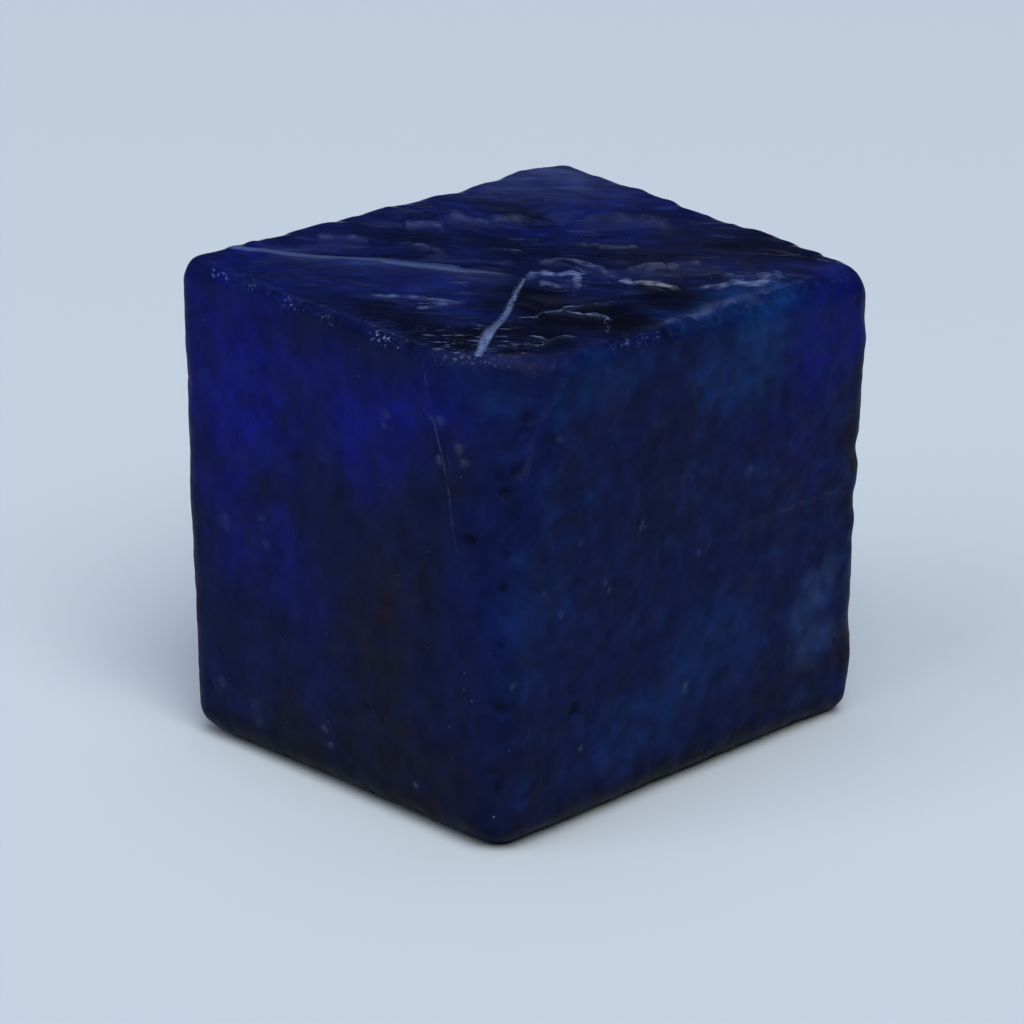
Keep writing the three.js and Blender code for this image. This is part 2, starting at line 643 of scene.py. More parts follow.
@dataclass(frozen=True)
class BrokenTop:
    """The glassy break across the top: a straight step, a hollow, ridges, ripples and a scar. In mm."""

    form: BlockForm
    ripples: Ripples = Ripples()
    wander: tuple[Layer, Layer] = (Layer(0.7), Layer(0.7, shift=40.0))  # of the ridges, along X and Y
    wander_by: float = 0.09
    ledge_from: Plan = (-7.8, -8.0)
    ledge_to: Plan = (1.45, -1.9)
    ledge_drop: float = 0.2
    ledge_trough: float = 1.6
    ledge_face: Span = (-0.06, 0.12)  # behind the step's line, where its steep face starts and ends
    ledge_fade_in: Span = (-0.15, 0.1)  # along the step, 0 to 1
    ledge_fade_out: Span = (0.9, 1.15)
    lip_height: float = 0.1
    lip_width: float = 0.8
    lip_back: float = 0.15
    # the step's pale line: partly crushed, partly a painted highlight
    line_path: PlanPath = PlanPath(
        (
            (-8.9, -8.86), (-7.7, -8.16), (-4.91, -6.38), (-2.99, -5.28),
            (-1.14, -4.08), (0.64, -2.76), (1.5, -2.06),
        )
    )
    line_half_width: float = 0.16
    line_frost: float = 0.6
    line_steady_within: float = 0.9
    hollow_centre: Plan = (5.6, -3.7)
    hollow_reach: Plan = (3.0, 2.6)
    hollow_depth: float = 0.35
    swell_fade: float = 3.0
    scar_path: PlanPath = PlanPath(((1.5, -1.95), (3.08, -4.26), (4.7, -6.7), (6.18, -8.98), (6.91, -10.16)))
    scar_half_widths: tuple[float, ...] = (0.08, 0.12, 0.16, 0.24, 0.14)
    scar_depth: float = 0.07
    scar_border: Span = (-0.05, 0.05)
    scar_measured: float = 0.6  # on either side of its border
    scar_smoothness: float = 0.7  # how much of the ripples the crushing takes away
    hump_centre: Plan = (-8.7, 9.0)  # the back corner stands a little high, with a flat crown
    hump_crown: float = 1.2
    hump_reach: float = 2.0
    hump_height: float = 0.19
    ragged: Layer = Layer(1.3, shift=90.0)  # the back rim
    ragged_height: float = 0.12
    ragged_reach: float = 1.6
    ragged_from: Span = (3.0, 8.0)  # along Y
    # painted sheen in front of the step and over the back corner, and a painted highlight along the right rim
    step_sheen: float = 0.22
    sheen_fade_in: Span = (0.0, 0.3)  # along the step, 0 to 1
    step_fade_out: Span = (0.9, 1.0)
    hump_sheen: float = 0.17
    hump_sheen_reach: float = 8.0
    rim_highlight: float = 0.09
    rim_highlight_middle: Plan = (8.4, 2.5)
    rim_highlight_reach: Plan = (0.45, 7.0)
    # painted shade in the trough behind the step
    trough_shade_strength: float = 0.6
    trough_shade_reach: float = 2.2
    trough_shade_fade_in: Span = (0.1, 0.4)  # along the step, 0 to 1
    torn_middle: Plan = (5.6, -8.9)
    torn_reach: Plan = (3.8, 3.2)
    torn_rim: float = 0.5
    torn_rim_middle: float = -10.6  # along Y
    torn_rim_reach: float = 1.6
    torn_rim_from: Span = (-2.0, 3.0)  # along X
    torn_least: float = 0.08
    swells: tuple[Swell, ...] = (
        Swell(132, 5.2, 0.1, 0.6),
        Swell(150, 8.3, 0.08, 2.1),
        Swell(75, 11, 0.06, 4.0),
    )

    def feathers(self) -> tuple[Feather, ...]:
        """The torn ridges of the hollow and the front plateau."""
        # each row: points in plan; height, flanks in front and behind, frost and half width of its line;
        # the side ridges' seed, spacing and length
        rows = (
            (
                ((4.41, -5.3), (4.45, -4.34), (4.34, -3.66), (4.65, -3.12), (4.56, -2.74), (4.91, -2.15)),
                (0.03, 0.06, 0.2, 0.42, 0.03), (1, 0.7, 0.4),
            ),
            (
                ((4.66, -2.98), (5.19, -2.75), (5.57, -2.44), (6.05, -2.27), (6.65, -2.42)),
                (0.03, 0.06, 0.2, 0.5, 0.032), (2, 0.4, 0.45),
            ),
            (((6.25, -2.46), (6.9, -3.01), (8, -4)), (0.02, 0.06, 0.15, 0.3, 0.02), (3, 0.3)),
            (((5.16, -1.85), (5.54, -1.29), (5.83, -0.98)), (0.02, 0.06, 0.15, 0.35, 0.025), (4, 0.5)),
            (
                ((6.76, -7.02), (7.08, -6.84), (7.42, -6.68), (7.42, -6.14), (7.55, -5.61)),
                (0.03, 0.06, 0.2, 0.45, 0.035), (5, 0.25, 0.35),
            ),
            (((7.09, -7.69), (7.35, -7.5), (7.6, -7.06)), (0.02, 0.06, 0.15, 0.4, 0.03), (6,)),
            (
                ((-0.79, -8.22), (0.05, -7.37), (0.53, -7.04), (1.19, -6.59), (1.79, -6.19), (2.1, -5.95)),
                (0.05, 0.12, 0.3, 0.28, 0.1), (7, 0.7, 0.4),
            ),
            (
                ((1.16, -7.62), (1.45, -7.11), (1.62, -6.69), (1.77, -6.27)),
                (0.05, 0.1, 0.25, 0.28, 0.1), (8, 0.7, 0.4),
            ),
            (
                (
                    (2.1, -2.5), (1.35, -1.4), (1.4, -0.8), (1.85, -0.4),
                    (2.05, 0.1), (2.5, 0.0), (3.4, -1.05), (3.7, -1.6),
                ),
                (0.05, 0.15, 0.3, 0.55, 0.14), (9, 0.35, 0.6),
            ),
            (
                ((2.35, -2.1), (2.75, -1.8), (3.05, -1.45), (3.05, -0.95)),
                (0.03, 0.15, 0.3, 0.35, 0.24), (10, 0.4, 0.5),
            ),
        )
        return tuple(Feather(Crest(PlanPath(points), *shape), *sides) for points, shape, sides in rows)

    def crests(self) -> list[Crest]:
        """Every ridge that can be told apart by eye, from the front corner to the back."""
        # each row: points in plan; height, flanks in front and behind, frost and half width of its line
        rows = (
            (((4.12, -7.72), (4.7, -7.55)), (0.04, 0.1, 0.2, 0.3)),
            (((0.4, -5.05), (1.01, -4.41)), (0.04, 0.12, 0.2, 0.2)),
            # the long ridge behind the hollow
            (
                ((0.7, -0.25), (0.9, 0.5), (1.3, 0.85), (1.95, 1.0), (2.45, 1.2), (2.9, 1.15), (3.4, 1.3)),
                (0.06, 0.35, 0.5, 0.32, 0.15),
            ),
            (((3.45, 1.9), (3.8, 2.5), (4.3, 3.3)), (0.1, 0.3, 0.4, 0.2, 0.2)),
            (
                ((3.6, 1.2), (4.3, 1.0), (4.6, 1.2), (4.8, 1.6), (5.0, 1.85), (5.4, 1.9), (6.1, 1.9)),
                (0.14, 0.3, 0.5, 0.7, 0.2),
            ),
            (
                ((6.4, 2.75), (6.8, 3.25), (6.9, 3.85), (7.05, 4.35), (7.5, 4.5), (7.7, 5.1), (7.45, 6.6)),
                (0.12, 0.35, 0.5, 0.42, 0.22),
            ),
            # the rim above the greener side: a painted highlight along its edge
            (((8.5, -1.9), (8.4, -0.4), (8.5, 1.2), (8.35, 2.6), (8.5, 4.2)), (0.0, 0.1, 0.1, 0.2, 0.13)),
            (((6.18, 4.42), (7.04, 5.65), (7.45, 6.78)), (0.1, 0.3, 0.4, 0.2, 0.14)),
            (((3.77, 2.27), (4.33, 3.25), (4.42, 3.89), (5.09, 4.8)), (0.12, 0.35, 0.5, 0.14, 0.2)),
            (((2.78, 5.86), (3.43, 7.12), (4.3, 8.31), (6.16, 8.08)), (0.14, 0.4, 0.6, 0.0)),
            # the back
            (
                ((-5.55, 1.8), (-5.47, 1.17), (-4.62, 1.52), (-4.39, 2.39), (-4.14, 3.14), (-3.52, 3.62)),
                (0.22, 0.45, 0.45, 0.12, 0.3),
            ),
            (
                ((-5.46, 2.26), (-5.12, 3.22), (-4.5, 3.9), (-3.13, 4.42), (-2.25, 4.46)),
                (-0.12, 0.4, 0.5, 0.0),
            ),
            (((-6.32, -1.09), (-5.72, -0.24), (-5.04, 0.23)), (0.18, 0.35, 0.4, 0.12, 0.28)),
            (((-7.08, -5.32), (-6.33, -4.46), (-5.37, -3.53)), (0.17, 0.3, 0.4, 0.1, 0.25)),
            (((-4.66, -3.09), (-3.58, -2.82), (-2.04, -2.61)), (0.16, 0.3, 0.35, 0.14, 0.15)),
            (((-2.84, 1.44), (-1.87, 2.39)), (0.09, 0.25, 0.3, 0.14, 0.18)),
            (((-1.77, -0.63), (-0.76, 0.26)), (0.08, 0.2, 0.3, 0.16, 0.16)),
            (((-0.46, 2.06), (0.89, 2.99)), (0.1, 0.25, 0.3, 0.2, 0.18)),
            (((0.9, 2.78), (2.04, 4.13)), (0.1, 0.25, 0.3, 0.16, 0.18)),
            (((-5.09, 5.58), (-4.04, 6.33), (-3.64, 7.33)), (0.22, 0.5, 0.7, 0.0)),
            (((-2.45, 5.44), (-0.96, 6.64), (0.75, 7.44)), (0.18, 0.45, 0.7, 0.06, 0.35)),
            # the right corner falls away
            (((6.4, 10.6), (8.6, 10.6)), (-0.16, 1.2, 1.2, 0.0)),
            # a crushed speck where the scar meets the rim
            (((6.85, -10.75), (7.19, -10.34)), (0.0, 0.1, 0.1, 0.9, 0.07)),
        )
        ridges = [Crest(PlanPath(points), *shape) for points, shape in rows]
        for feather in self.feathers():
            ridges += feather.crests()
        return ridges

    def block_height(self, plan: Array) -> Array:
        """The step, the hollow and the swells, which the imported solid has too.

        Args:
            plan: points in plan, in mm, one a row.

        Returns:
            The height over the top's flat plane in mm.
        """
        start = np.array(self.ledge_from)
        run = np.array(self.ledge_to) - start
        offset = plan - start
        along = offset @ run / (run @ run)
        behind = (run[0] * offset[:, 1] - run[1] * offset[:, 0]) / np.linalg.norm(run)
        ends = between(along, self.ledge_fade_in, self.ledge_fade_out)
        drop = -self.ledge_drop * ends * np.exp(-np.maximum(behind, 0.0) / self.ledge_trough)
        height = drop * smoothstep(behind, *self.ledge_face)
        height -= self.hollow_depth * around(plan, self.hollow_centre, self.hollow_reach)
        inside = smoothstep(self.rim_distance(plan), 0.0, self.swell_fade)
        for swell in self.swells:
            turn = math.radians(swell.heading)
            across = plan @ [math.cos(turn), math.sin(turn)]
            height += inside * swell.height * np.sin(2 * math.pi * across / swell.length + swell.phase)
        return height

    def rim_distance(self, plan: Array) -> Array:
        """How far inside the block's plan a point is, in mm."""
        return (self.form.half()[:2] - np.abs(plan)).min(axis=1)

    def ledge(self) -> PlanPath:
        """The step's line in plan."""
        return PlanPath((self.ledge_from, self.ledge_to))

    def lip(self) -> tuple[Crest, Crest]:
        """The step's crest, which falls gently to the front and sharply behind, and its pale line, partly
        crushed and partly a painted highlight.

        Returns:
            Two crests along the step.
        """
        flanks = (self.lip_width, self.lip_back)
        step = Crest(self.ledge(), self.lip_height, *flanks, 0.0)
        return step, Crest(self.line_path, 0.0, *flanks, self.line_frost, self.line_half_width)

    def painted_sheen(self, plan: Array) -> Array:
        """Painted sheen in front of the step and over the back corner, and a painted highlight along the
        right rim, 0 to 1.

        Args:
            plan: points in plan, in mm, one a row.

        Returns:
            One number for each point.
        """
        away, behind, along = self.ledge().measure(plan)
        ends = between(along, self.sheen_fade_in, self.step_fade_out)
        band = np.where(behind, 0.0, self.step_sheen * np.exp(-away / self.lip_width)) * ends
        corner = self.hump_sheen * around(plan, self.hump_centre, self.hump_sheen_reach)
        beside = dome((plan - self.rim_highlight_middle) / self.rim_highlight_reach)
        rim = self.rim_highlight * beside[:, 0] * beside[:, 1]
        return np.maximum(np.maximum(band, corner), rim)

    def trough_shade(self, plan: Array) -> Array:
        """Painted shade in the trough behind the step, where the colour is drawn darker, 0 to 1.

        Args:
            plan: points in plan, in mm, one a row.

        Returns:
            One number for each point.
        """
        away, behind, along = self.ledge().measure(plan)
        ends = between(along, self.trough_shade_fade_in, self.step_fade_out)
        return np.where(behind, self.trough_shade_strength * dome(away / self.trough_shade_reach), 0.0) * ends

    def steady(self, plan: Array) -> Array:
        """How free of gaps the frosted lines are, 0 to 1: only the step's line is."""
        away, _, _ = self.ledge().measure(plan)
        return dome(away / self.line_steady_within)

    def scar(self, plan: Array) -> Array:
        """How far inside the border of the crushed scar each point in plan is, in mm, negative outside it.

        Args:
            plan: points in plan, in mm, one a row.

        Returns:
            One number for each point, cut off where no finish can tell it apart.
        """
        away, _, along = self.scar_path.measure(plan)
        stations = np.linspace(0.0, 1.0, len(self.scar_half_widths))
        inside = np.interp(along, stations, self.scar_half_widths) - away
        return np.clip(inside, -self.scar_measured, self.scar_measured)

    def torn(self, plan: Array) -> Array:
        """How torn into fine hackles the break is, 0 to 1: most of all round the front corner.

        Args:
            plan: points in plan, in mm, one a row.

        Returns:
            One number for each point.
        """
        corner = around(plan, self.torn_middle, self.torn_reach)
        rim = self.torn_rim * dome((plan[:, 1] - self.torn_rim_middle) / self.torn_rim_reach)
        rim *= smoothstep(plan[:, 0], *self.torn_rim_from)
        return np.maximum(np.maximum(corner, rim), self.torn_least)

    def relief(self, places: Array, noise: LatticeNoise) -> tuple[Array, FrostedLines]:
        """The whole break at points on the top.

        Args:
            places: points in mm, one a row.
            noise: where what is irregular comes from.

        Returns:
            The height over the top's flat plane in mm, and the frosted lines.
        """
        flat = places * (1.0, 1.0, 0.0)
        plan = places[:, :2]
        strayed = plan + self.wander_by * np.stack([layer.at(flat, noise) for layer in self.wander], -1)
        height = self.block_height(plan)
        lines = FrostedLines.none(len(places))
        for crest in self.crests():
            rise, *line = crest.raise_and_frost(strayed)
            height += rise
            lines.add(*line)
        step, pale = self.lip()
        height += step.raise_and_frost(plan)[0]
        lines.add(*pale.raise_and_frost(plan)[1:])
        scar = smoothstep(self.scar(plan), *self.scar_border)
        ripples = self.ripples.relief(places, self.torn(plan), noise)
        height += ripples * (1.0 - self.scar_smoothness * scar) - self.scar_depth * scar
        past_crown = np.linalg.norm(plan - self.hump_centre, axis=1) - self.hump_crown
        height += self.hump_height * dome(np.maximum(past_crown, 0.0) / self.hump_reach)
        rim = dome(self.rim_distance(plan) / self.ragged_reach) * smoothstep(plan[:, 1], *self.ragged_from)
        height += self.ragged_height * rim * self.ragged.at(flat, noise)
        return height, lines


@dataclass(frozen=True)
class Scallop:
    """A dent or bulge of the upright edge between +X and +Y: its height, its rise and its half size."""

    z: float
    proud: float
    half: float


@dataclass(frozen=True)
class Dent:
    """A pit, dent or chip: its place, reach and depth in mm. A crisp one has a sharp rim, as a chip has."""

    place: Place
    reach: float
    depth: float
    crisp: bool = False

    def press(self, place: Place, nearby: NearbyPoints, depth: Array) -> None:
        """Adds this dent, moved to a place on the surface, to the depth of each point.

        Args:
            place: the middle, in mm.
            nearby: the points of the surface.
            depth: the depth of each point in mm, which is changed.
        """
        near, away = nearby.within(place, self.reach)
        shape = 1.0 - (away / self.reach) ** 2
        depth[near] = np.maximum(depth[near], self.depth * (shape if self.crisp else shape**2))


@dataclass(frozen=True)
class WornSkin:
    """The worn, satin sides: slow unevenness, orange-peel, flutes, pits, and chips along the edges. In mm."""

    form: BlockForm
    seed: int = 41
    slow: Layer = Layer(4.6, height=0.045)
    peel_layer: Layer = Layer(0.85, 3, shift=20.0)
    peel_heights: Span = (0.006, 0.016)  # everywhere, and on top of that on the two sides across X
    peel_facing: Span = (0.3, 0.8)  # X share of an outward direction, from where peel starts to full peel
    flutes: Layer = Layer((1.4, 1.4, 9.0), shift=60.0)  # growth lines up the sides across Y
    flute_height: float = 0.012
    wear: Layer = Layer(1.7, shift=80.0)
    wear_depth: float = 0.09  # where the edges are rubbed down most
    wear_reach: float = 1.0
    grain_height: float = 0.02
    straying: tuple[Layer, ...] = (  # bends the round borders of pits and chips
        Layer(0.45, shift=100.0),
        Layer(0.45, shift=130.0),
        Layer(0.45, shift=160.0),
    )
    stray_by: float = 0.14
    pits_per_side: int = 90
    pit_margin: float = 0.8  # without pits, inside the block's borders
    pit_least_reach: float = 0.1
    pit_extra_reach: float = 0.3  # of the largest, which are rare
    pit_rarity: int = 4
    pit_depth: Span = (0.04, 0.15)  # as a share of its reach
    chips_per_mm: float = 0.7
    chips_on_rim: float = 2.6  # times as many round the broken top
    chips_elsewhere: float = 0.5
    chip_inset_on_rim: float = 0.12
    chip_inset: float = 0.25
    chip_scatter: float = 0.12
    chip_margin: float = 1.6  # without chips, at each end of an edge
    chip_least_reach: float = 0.12
    chip_extra_reach: float = 0.22  # of the largest, which are rare
    chip_rarity: int = 2
    chip_depth: Span = (0.1, 0.26)  # as a share of its reach
    seam_facing: float = 0.6  # least share of an outward direction, for a seam to show
    seam_flank: float = 0.1
    scallop_reach: float = 1.5
    scallops: tuple[Scallop, ...] = (
        Scallop(16.3, 0.13, 1.2),
        Scallop(11.8, -0.15, 0.8),
        Scallop(9.6, -0.16, 0.9),
        Scallop(2.6, 0.26, 1.7),
    )

    def scallop_relief(self, places: Array) -> Array:
        """How far the scalloped edge stands proud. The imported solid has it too, the lowest bulge smaller.

        Args:
            places: points in mm, one a row.

        Returns:
            The rise of each point in mm.
        """
        away = (self.form.half() - places)[:, :2] / self.scallop_reach
        near = dome(away[:, 0]) * dome(away[:, 1])
        total = np.zeros(len(places))
        for scallop in self.scallops:
            total += near * scallop.proud * dome((places[:, 2] - scallop.z) / scallop.half)
        return total

    def edge_nearness(self, places: Array, reach: float) -> Array:
        """1 on an edge and 0 at `reach` mm from it.

        Args:
            places: points in mm, one a row.
            reach: in mm.

        Returns:
            One number for each point.
        """
        normals, offsets = self.form.flats()
        depths = np.sort(places @ normals.T - offsets, axis=1)
        return dome(np.minimum(depths[:, -2], 0.0) / reach)

    def on_sides(self, on_left: tuple[tuple, ...], on_right: tuple[tuple, ...]) -> list[Dent]:
        """Marks on the two sides beside the front edge.

        Args:
            on_left: for each mark on the side that faces -Y, its X, Z, reach and depth.
            on_right: for each mark on the side that faces +X, its Y, Z, reach and depth.

        Returns:
            All of them, the left side's first.
        """
        x, y = self.form.width / 2, -self.form.depth / 2
        marks = [Dent((along, y, z), reach, depth) for along, z, reach, depth in on_left]
        return marks + [Dent((x, along, z), reach, depth) for along, z, reach, depth in on_right]

    def own_dents(self) -> list[Dent]:
        """Pits and dents that can be told apart by eye on the two sides beside the front edge."""
        on_left = (
            (-3.2, 14.8, 0.5, 0.03), (-2.5, 14.5, 0.55, 0.035),
            (-1.8, 14.2, 0.55, 0.03), (-1.1, 13.95, 0.6, 0.03),
            (-0.45, 13.7, 0.55, 0.035), (0.4, 13.05, 0.45, 0.03),
            (7.3, 12.9, 0.4, 0.14), (1.9, 4.3, 0.3, 0.05),
            (2.6, 4.0, 0.25, 0.06), (5.0, 17.4, 0.2, 0.04), (5.9, 15.8, 0.2, 0.05), (6.3, 14.3, 0.2, 0.04),
        )
        on_right = (
            (-9.0, 17.6, 0.36, 0.1), (-9.3, 17.2, 0.3, 0.08),
            (-9.65, 15.7, 0.34, 0.1), (-9.95, 15.35, 0.26, 0.08),
            (-10.4, 14.9, 0.36, 0.12), (0.1, 16.6, 0.55, 0.05),
            (4.1, 16.0, 0.8, 0.05), (5.1, 15.2, 0.55, 0.04),
            (-6.55, 5.25, 0.5, 0.1), (9.1, 3.65, 0.35, 0.08),
            (-10.3, 12.6, 0.3, 0.08), (-10.5, 11.2, 0.36, 0.08),
            (-10.2, 10.1, 0.26, 0.06), (-10.5, 8.9, 0.3, 0.07),
            (-10.1, 7.6, 0.24, 0.06), (-10.45, 6.3, 0.34, 0.08),
            (-10.2, 4.4, 0.3, 0.06), (-10.5, 2.9, 0.3, 0.07),
            (-3.0, 15.15, 0.22, 0.05), (-3.35, 14.95, 0.24, 0.05),
            (-3.7, 14.8, 0.2, 0.05), (-3.2, 12.15, 0.24, 0.07),
            (-2.95, 11.75, 0.26, 0.06), (-6.2, 11.4, 0.24, 0.05),
            (1.0, 9.6, 0.5, 0.04), (-1.7, 10.2, 0.45, 0.04),
            (-7.9, 6.4, 0.3, 0.05), (-4.8, 7.9, 0.36, 0.04),
        )
        return self.on_sides(on_left, on_right)

    def own_grains(self) -> list[Dent]:
        """Crushed pale grains on the same two sides. Their depth is how pale they are, 0 to 1."""
        on_left = (
            (-6.7, 2.75, 0.35, 0.5), (-4.75, 2.4, 0.45, 0.35),
            (-4.6, 1.7, 0.4, 0.3), (-0.65, 2.6, 0.25, 0.6),
            (-0.35, 2.0, 0.25, 0.7), (4.4, 1.85, 0.22, 0.9),
            (-4.2, 10.5, 0.4, 0.35), (-3.9, 9.6, 0.35, 0.3),
            (-6.3, 10.0, 0.5, 0.3), (3.0, 16.8, 0.3, 0.5), (2.9, 16.35, 0.25, 0.5), (5.8, 17.2, 0.35, 0.5),
            (6.7, 16.3, 0.35, 0.55), (6.9, 15.75, 0.3, 0.5), (5.35, 17.35, 0.2, 0.9), (5.8, 15.8, 0.2, 1.0),
        )
        on_right = (
            (-2.95, 11.9, 0.25, 0.7), (0.35, 9.85, 0.25, 0.6),
            (-0.1, 4.25, 0.32, 0.9), (-9.8, 7.2, 0.25, 0.6),
            (-6.15, 3.5, 0.18, 1.0), (-6.35, 12.1, 0.35, 0.4),
            (-4.95, 10.0, 0.22, 0.8), (-4.7, 9.7, 0.18, 0.8),
            (-7.4, 9.4, 0.22, 0.6), (-8.3, 10.6, 0.2, 0.6), (3.2, 12.6, 0.5, 0.3), (-7.6, 16.6, 0.3, 0.5),
        )
        return self.on_sides(on_left, on_right)

    def scattered_pits(self, draws: np.random.Generator) -> list[Dent]:
        """Small pits all over the four sides.

        Args:
            draws: where their places and sizes come from.

        Returns:
            The pits.
        """
        half = self.form.half()
        pits = []
        for axis, end in itertools.product((0, 1), (-1, 1)):
            for _ in range(self.pits_per_side):
                place = draws.uniform(-1, 1, 3) * (half - self.pit_margin)
                place[axis] = end * half[axis]
                place[2] += self.form.height / 2
                reach = self.pit_least_reach + self.pit_extra_reach * draws.random() ** self.pit_rarity
                pits.append(Dent(tuple(place), reach, reach * draws.uniform(*self.pit_depth)))
        return pits

    def edge_chips(self, draws: np.random.Generator) -> list[Dent]:
        """Crisp little chips strung along the twelve edges, most of them round the broken top.

        Args:
            draws: where their places and sizes come from.

        Returns:
            The chips.
        """
        half = self.form.half()
        chips = []
        for axis in range(3):
            others = [other for other in range(3) if other != axis]
            for ends in itertools.product((-1, 1), repeat=2):
                on_rim = axis != 2 and ends[1] > 0
                density = self.chips_per_mm * (self.chips_on_rim if on_rim else self.chips_elsewhere)
                for _ in range(int(2 * half[axis] * density)):
                    chips.append(self.chip(draws, axis, dict(zip(others, ends)), on_rim))
        return chips

    def chip(self, draws: np.random.Generator, axis: int, ends: dict[int, int], on_rim: bool) -> Dent:
        """One chip on an edge.

        Args:
            draws: where its place and size come from.
            axis: the axis that the edge runs along.
            ends: for each other axis, -1 or 1 for the end that the edge is at.
            on_rim: whether the edge borders the broken top, which falls towards +X.

        Returns:
            The chip.
        """
        half = self.form.half()
        place = np.zeros(3)
        place[axis] = draws.uniform(-1, 1) * (half[axis] - self.chip_margin)
        inset = self.chip_inset_on_rim if on_rim else self.chip_inset
        for other, end in ends.items():
            place[other] = end * (half[other] - inset - self.chip_scatter * abs(draws.normal()))
        place[2] += self.form.height / 2
        if on_rim:
            place[2] -= place[0] * math.tan(math.radians(self.form.top_fall_x))
        reach = self.chip_least_reach + self.chip_extra_reach * draws.random() ** self.chip_rarity
        return Dent(tuple(place), reach, reach * draws.uniform(*self.chip_depth), crisp=True)

    def relief(self, places: Array, normals: Array, noise: LatticeNoise) -> Array:
        """How far the skin stands out from the rounded form.

        Args:
            places: points on the form in mm, one a row.
            normals: the form's outward directions there.
            noise: where what is irregular comes from.

        Returns:
            The height along the outward direction, in mm.
        """
        peel = self.peel(normals)
        everywhere, extra = self.peel_heights
        height = self.slow.at(places, noise)
        height += (everywhere + extra * peel) * self.peel_layer.at(places, noise)
        height += self.flute_height * (1.0 - peel) * self.flutes.at(places, noise)
        worn = self.edge_nearness(places, self.wear_reach)
        height -= self.wear_depth * worn * np.clip(self.wear.at(places, noise), 0.0, 1.0)
        pits, grains = self.pressed(places, noise)
        return height - pits + self.grain_height * grains

    def pressed(self, places: Array, noise: LatticeNoise) -> tuple[Array, Array]:
        """Presses every dent, pit, chip and crushed grain into the skin.

        Args:
            places: points in mm, one a row.
            noise: what bends the marks' borders.

        Returns:
            How deep each point is pressed in mm, and how pale its crushed grain is, 0 to 1.
        """
        draws = np.random.default_rng(self.seed)
        strayed = [layer.at(places, noise) for layer in self.straying]
        nearby = NearbyPoints(places + self.stray_by * np.stack(strayed, -1))
        depth = np.zeros(len(places))
        pale = np.zeros(len(places))
        dents = self.own_dents() + self.scattered_pits(draws) + self.edge_chips(draws)
        for marks, strength in ((dents, depth), (self.own_grains(), pale)):
            spots = self.form.settle(np.array([mark.place for mark in marks]))
            for mark, spot in zip(marks, spots):
                mark.press(spot, nearby, strength)
        return depth, pale

    def peel(self, normals: Array) -> Array:
        """How much orange-peel a surface that faces this way has: the two sides across X have it, 0 to 1."""
        return smoothstep(np.abs(normals[:, 0]), *self.peel_facing)

    def seams(self, places: Array, normals: Array) -> FrostedLines:
        """Pale bruised lines of the two sides beside the front edge, two of which border its worn flat.

        Args:
            places: points in mm, one a row.
            normals: the form's outward directions there.

        Returns:
            The line nearest to each point.
        """
        # each row: the axis that the side faces along and which end; points on the side; frost; half width
        rows = (
            (1, -1, ((6.9, 11.6), (6.5, 13.1), (6.15, 15.0), (5.4, 17.6), (4.9, 19.75)), 0.1, 0.04),
            (0, 1, ((-9.5, 15.0), (-9.0, 15.7), (-8.6, 17.2), (-7.7, 18.15), (-7.2, 19.2)), 0.03, 0.12),
            (0, 1, ((0.5, 10.0), (3.6, 10.35), (6.8, 10.3), (9.9, 10.5)), 0.05, 0.12),
        )
        lines = FrostedLines.none(len(places))
        for axis, end, points, frost, line in rows:
            here = np.flatnonzero(end * normals[:, axis] > self.seam_facing)
            one = FrostedLines.none(len(places))
            crest = Crest(PlanPath(points), 0.0, self.seam_flank, self.seam_flank, frost, line)
            _, one.frost[here], one.offset[here] = crest.raise_and_frost(places[here][:, (1 - axis, 2)])
            lines.add(one.frost, one.offset)
        return lines


class Zone(Enum):
    """The colour zones of the crystal, each a mask on the mesh."""

    ROYAL = "royal"
    TEAL = "teal"
    UMBER = "umber"
    VEIL = "veil"
    # smokier crystal, and painted shade in the trough behind the step
    SMOKE = "smoke_and_shade"


@dataclass(frozen=True)
class Patch:
    """A soft ragged patch of colour inside the crystal, with its reach along each axis in mm."""

    middle: Place
    reach: Place
    strength: float


